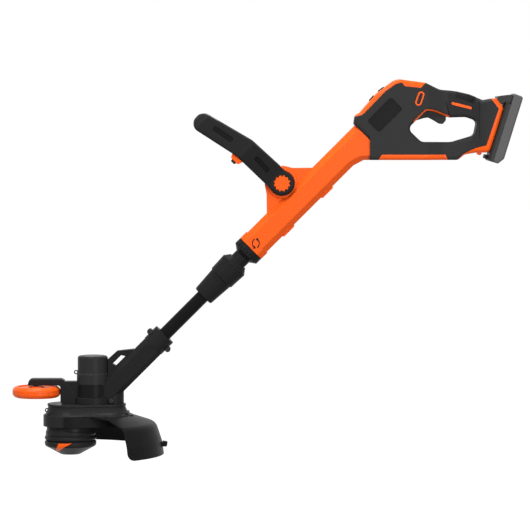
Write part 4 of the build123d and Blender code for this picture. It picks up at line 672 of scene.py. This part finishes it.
# Battery: five cells in a grey polycarbonate case with a cover, slid on a dock and held by a latch.
# The case is matt with a coarse grain; the cover, the dock and the latch are darker and smoother.
case_grey = moulded(
    "battery_grey", (0.092, 0.092, 0.095), dull=0.48, grain=800.0, depth=0.00016, shine=0.16,
    soft=0.0016, edge_sheen=0.3,
)
case_dark = moulded(
    "battery_dark", (0.017, 0.017, 0.0175), dull=0.40, shine=0.16, soft=0.0010, edge_sheen=0.5
)
cell_sleeve = moulded(
    "cell_sleeve", (0.03, 0.09, 0.14), dull=0.3, grain=300.0, shine=0.3, soft=0.0006
)
dress(case_grey, "battery_case")
dress(case_dark, "battery_cover", "battery_dock", "battery_latch")
dress(cell_sleeve, "battery_cells")

# Head: neck, motor cover and gear case in the same black plastic, a tone darker than the handle.
# The two neck halves are closed by a clamp ring on the tube and by screws through clip bosses.
head_black = moulded(
    "head_moulding", (0.0275, 0.0275, 0.028), dull=0.31, shine=0.04, soft=0.0015, edge_sheen=0.7
)
neck_black = moulded(
    "neck_moulding", (0.0165, 0.0165, 0.017), dull=0.30, shine=0.04, soft=0.0018, edge_sheen=0.8
)
case_black = moulded(
    "case_moulding", (0.0220, 0.0220, 0.0225), dull=0.30, shine=0.04, soft=0.0018, edge_sheen=0.8
)
dress(head_black, "motor_cover")
dress(neck_black, "head_left", "head_right", "head_clamp", "wheel_arm")
dress(case_black, "gear_case_upper", "gear_case_lower")

# Motor plate: the bare film plate on the left of the motor cover, bent round it.
# It is cut flat, scored into narrow strips and laid on the curve.
plate_left, plate_right, plate_low, plate_high = 0.0137, 0.0551, 0.0935, 0.1144
plate_long, plate_wide = plate_right - plate_left, plate_high - plate_low
plate_strips = 30
plate_thick, plate_proud, plate_start = 0.0007, 0.0004, 0.05
curved = rounded_plate(plate_long, plate_wide, corner=0.0035, rim=0.0011, sink=0.0003)
bpy.ops.object.mode_set(mode="EDIT")
for i in range(1, plate_strips):
    score = plate_long * (i / plate_strips - 0.5)
    bpy.ops.mesh.select_all(action="SELECT")
    bpy.ops.mesh.bisect(plane_co=(score, 0, 0), plane_no=(1, 0, 0))
bpy.ops.object.mode_set(mode="OBJECT")
sunk = [v.co.z for v in curved.data.vertices]
plate_x, plate_z = (plate_left + plate_right) / 2, (plate_low + plate_high) / 2
curved.matrix_world = side_place(plate_x, plate_z, 0, plate_start)
bpy.ops.object.transform_apply(location=True, rotation=True)
use(
    curved, "SHRINKWRAP", target=nodes["motor_cover"], wrap_method="PROJECT", use_project_y=True,
    use_negative_direction=False, use_positive_direction=True, wrap_mode="OUTSIDE_SURFACE",
    offset=plate_proud,
)
for vertex, depth in zip(curved.data.vertices, sunk):
    vertex.co.y -= depth
use(curved, "SOLIDIFY", thickness=plate_thick, offset=-1)
bpy.ops.object.shade_smooth_by_angle(angle=radians(30))
settle(curved, "motor_plate", plate_film, "shaft")

# Edging wheel: an orange wheel with a notched tread, free on its axle under the arm.
# The tread is scuffed paler and greyer where it runs on the ground.
scuff_low, scuff_high = 0.0925, 0.0975
scuff_scale, scuff_from, scuff_to = 120.0, 0.52, 0.75
scuff_share, scuff_dull, scuff_orange = 0.2, 0.15, (0.45, 0.16, 0.07)


def tread_scuff(tree, place, tone, rough, bump):
    """Scuffs on the lower part of the tread."""
    low = 1 - place.along("Z").rise(scuff_low, scuff_high)
    scuff = low * place.noise(scuff_scale, 4.0).rise(scuff_from, scuff_to)
    return tree.mix(scuff_share * scuff, tone, scuff_orange), rough + scuff_dull * scuff, bump


wheel_orange = moulded(
    "wheel_moulding", (0.95, 0.108, 0.006), dull=0.36, shine=0.2, soft=0.0010, zone=tread_scuff
)
dress(wheel_orange, "edge_wheel")

# Guard: a thin black polypropylene hood, matt and among the darkest pieces, with a steel blade.
# It is moulded with its collar and held by two screws from below.
guard_black = moulded(
    "guard_moulding", (0.0110, 0.0110, 0.0113), dull=0.36, grain=1200.0, depth=0.00012,
    shine=0.03, soft=0.0014, edge_sheen=0.6,
)
dress(guard_black, "guard")
dress(bright_steel, "line_cutter")

# Spool: a beaded black cup with steel eyelets, the drum with its line, and a cap with orange tabs.
# The cup is moulded with two round beads, and the line is wound on the drum in close turns.
cup_low, cup_high, cup_r, cup_wall = 0.0240, 0.0450, 0.0380, 0.0025
mouth_r, crease_r = 0.0411, 0.0388
beads, bead_half, bead_steps = [(0.03475, 0.0402), (0.02675, 0.0420)], 0.0040, 4
hole_r, hole_z = 0.003, 0.032
line_pitch, line_depth = 0.0016, 0.0004
spool_black = moulded(
    "spool_moulding", (0.0190, 0.0190, 0.0195), dull=0.29, shine=0.05, soft=0.0011, edge_sheen=0.7
)
rings = {cup_low: mouth_r}
for bead_z, bead_r in beads:
    for step in range(-bead_steps, bead_steps + 1):
        turn = step * pi / (2 * bead_steps)
        ring_z = round(bead_z + bead_half * sin(turn), 6)
        if ring_z > cup_low:
            rings[ring_z] = crease_r + (bead_r - crease_r) * cos(turn)
bpy.ops.mesh.primitive_cylinder_add(
    vertices=96, radius=cup_r, depth=cup_high - cup_low, location=(0, 0, (cup_high + cup_low) / 2)
)
cup = bpy.context.object
bpy.ops.object.transform_apply(location=True)
bpy.ops.object.mode_set(mode="EDIT")
pick("FACE", lambda f: f.normal.z < -0.9)
bpy.ops.mesh.delete(type="FACE")
for ring_z in rings:
    bpy.ops.mesh.select_all(action="SELECT")
    bpy.ops.mesh.bisect(plane_co=(0, 0, ring_z), plane_no=(0, 0, 1))
for ring_z, ring_r in rings.items():
    pick("VERT", lambda v: abs(v.co.z - ring_z) < 0.00001)
    bpy.ops.transform.resize(value=(ring_r / cup_r, ring_r / cup_r, 1), center_override=(0, 0, 0))
bpy.ops.object.mode_set(mode="OBJECT")
use(cup, "SOLIDIFY", thickness=cup_wall, offset=-1)
bpy.ops.mesh.primitive_cylinder_add(
    vertices=32, radius=hole_r, depth=4 * cup_r, location=(0, 0, hole_z), rotation=(0, pi / 2, 0)
)
drill = bpy.context.object
use(cup, "BOOLEAN", object=drill, operation="DIFFERENCE", solver="EXACT")
bpy.data.objects.remove(drill)
take(cup)
bpy.ops.object.shade_smooth_by_angle(angle=radians(40))
settle(cup, "spool_cup", spool_black, "spool")
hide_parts("spool_housing")


def line_turns(tree, place, tone, rough, bump):
    """Close turns of line round the drum."""
    turns = (place.along("Z") * (2 * pi / line_pitch)).sine()
    return tone, rough, tree.bump(turns, line_depth, 1.0, bump)


line_nylon = moulded(
    "line_nylon", (0.03, 0.03, 0.03), dull=0.25, shine=0.3, soft=0.0002, zone=line_turns
)
dress(spool_black, "spool_housing", "spool_cap", "spool_drum")
dress(bright_steel, "line_eyelets")
dress(line_nylon, "line_winding")
dress(orange, "cap_tab_front", "cap_tab_back")

# Screw recesses: a cross driven into each screw head, coloured near black as painted shade for its
# hollow.
# One is modelled and copied to the neck, its clamp, the guard and the far side of the housing.
cross_core, cross_thick, cross_arm, cross_taper = 0.0009, 0.0004, 0.0013, 0.6
clip_x, clip_z, clip_face, clip_turn = 0.0675, 0.0875, 0.0207, radians(20)
clamp_run, clamp_off, clamp_face, clamp_turn = 0.2035, 0.0202, 0.0112, radians(60)
guard_x, guard_y, guard_under, guard_turn = 0.0915, 0.0155, 0.0590, radians(35)
tube_runs, tube_off, tube_face = (0.478, 0.566), 0.017, 0.0172
far_turn = 0.7
shaft_foot = Vector((0, 0, 0.041))
shaft_run = Vector((2**-0.5, 0, 2**-0.5))
shaft_rise = Vector((-(2**-0.5), 0, 2**-0.5))
bpy.ops.mesh.primitive_cube_add(size=1)
cross = bpy.context.object
bpy.ops.object.mode_set(mode="EDIT")
bpy.ops.mesh.select_all(action="SELECT")
bpy.ops.transform.resize(value=(cross_core, cross_core, cross_thick))
for way in (Vector((1, 0, 0)), Vector((-1, 0, 0)), Vector((0, 1, 0)), Vector((0, -1, 0))):
    pick("FACE", lambda f: f.normal.dot(way) > 0.9)
    bpy.ops.mesh.extrude_region_move(TRANSFORM_OT_translate={"value": cross_arm * way})
    narrow = [1 if along else cross_taper for along in (way.x, way.y)]
    bpy.ops.transform.resize(value=(*narrow, 1))
bpy.ops.object.mode_set(mode="OBJECT")
# Painted shade: the crosses are near black, standing for the shadow in the recesses.
recess_shade = steel("screw_recess", (0.02, 0.02, 0.02), dull=0.6)
head_spots = [side_place(clip_x, clip_z, clip_turn, clip_face, hand) for hand in (1, -1)]
for off in (clamp_off, -clamp_off):
    spot = shaft_foot + clamp_run * shaft_run + off * shaft_rise
    head_spots.append(side_place(spot.x, spot.z, clamp_turn, clamp_face))
for y in (guard_y, -guard_y):
    spot = Matrix.Translation((guard_x, y, guard_under))
    head_spots.append(spot @ Matrix.Rotation(guard_turn, 4, "Z"))
head_crosses = joined(*[copied(cross, spot) for spot in head_spots])
settle(head_crosses, "head_screw_recesses", recess_shade, "shaft")
# On the far side: the x and z of each screw, and how far out its head lies
far_spots = [
    (0.500, 0.497, 0.026), (0.540, 0.512, 0.026), (0.512, 0.566, 0.026), (0.630, 0.497, 0.0165)
]
for run in tube_runs:
    spot = shaft_foot + run * shaft_run - tube_off * shaft_rise
    far_spots.append((spot.x, spot.z, tube_face))
far_crosses = [
    copied(cross, side_place(x, z, far_turn * i, level, -1))
    for i, (x, z, level) in enumerate(far_spots)
]
bpy.data.objects.remove(cross)
settle(joined(*far_crosses), "housing_screw_recesses", recess_shade, "housing")
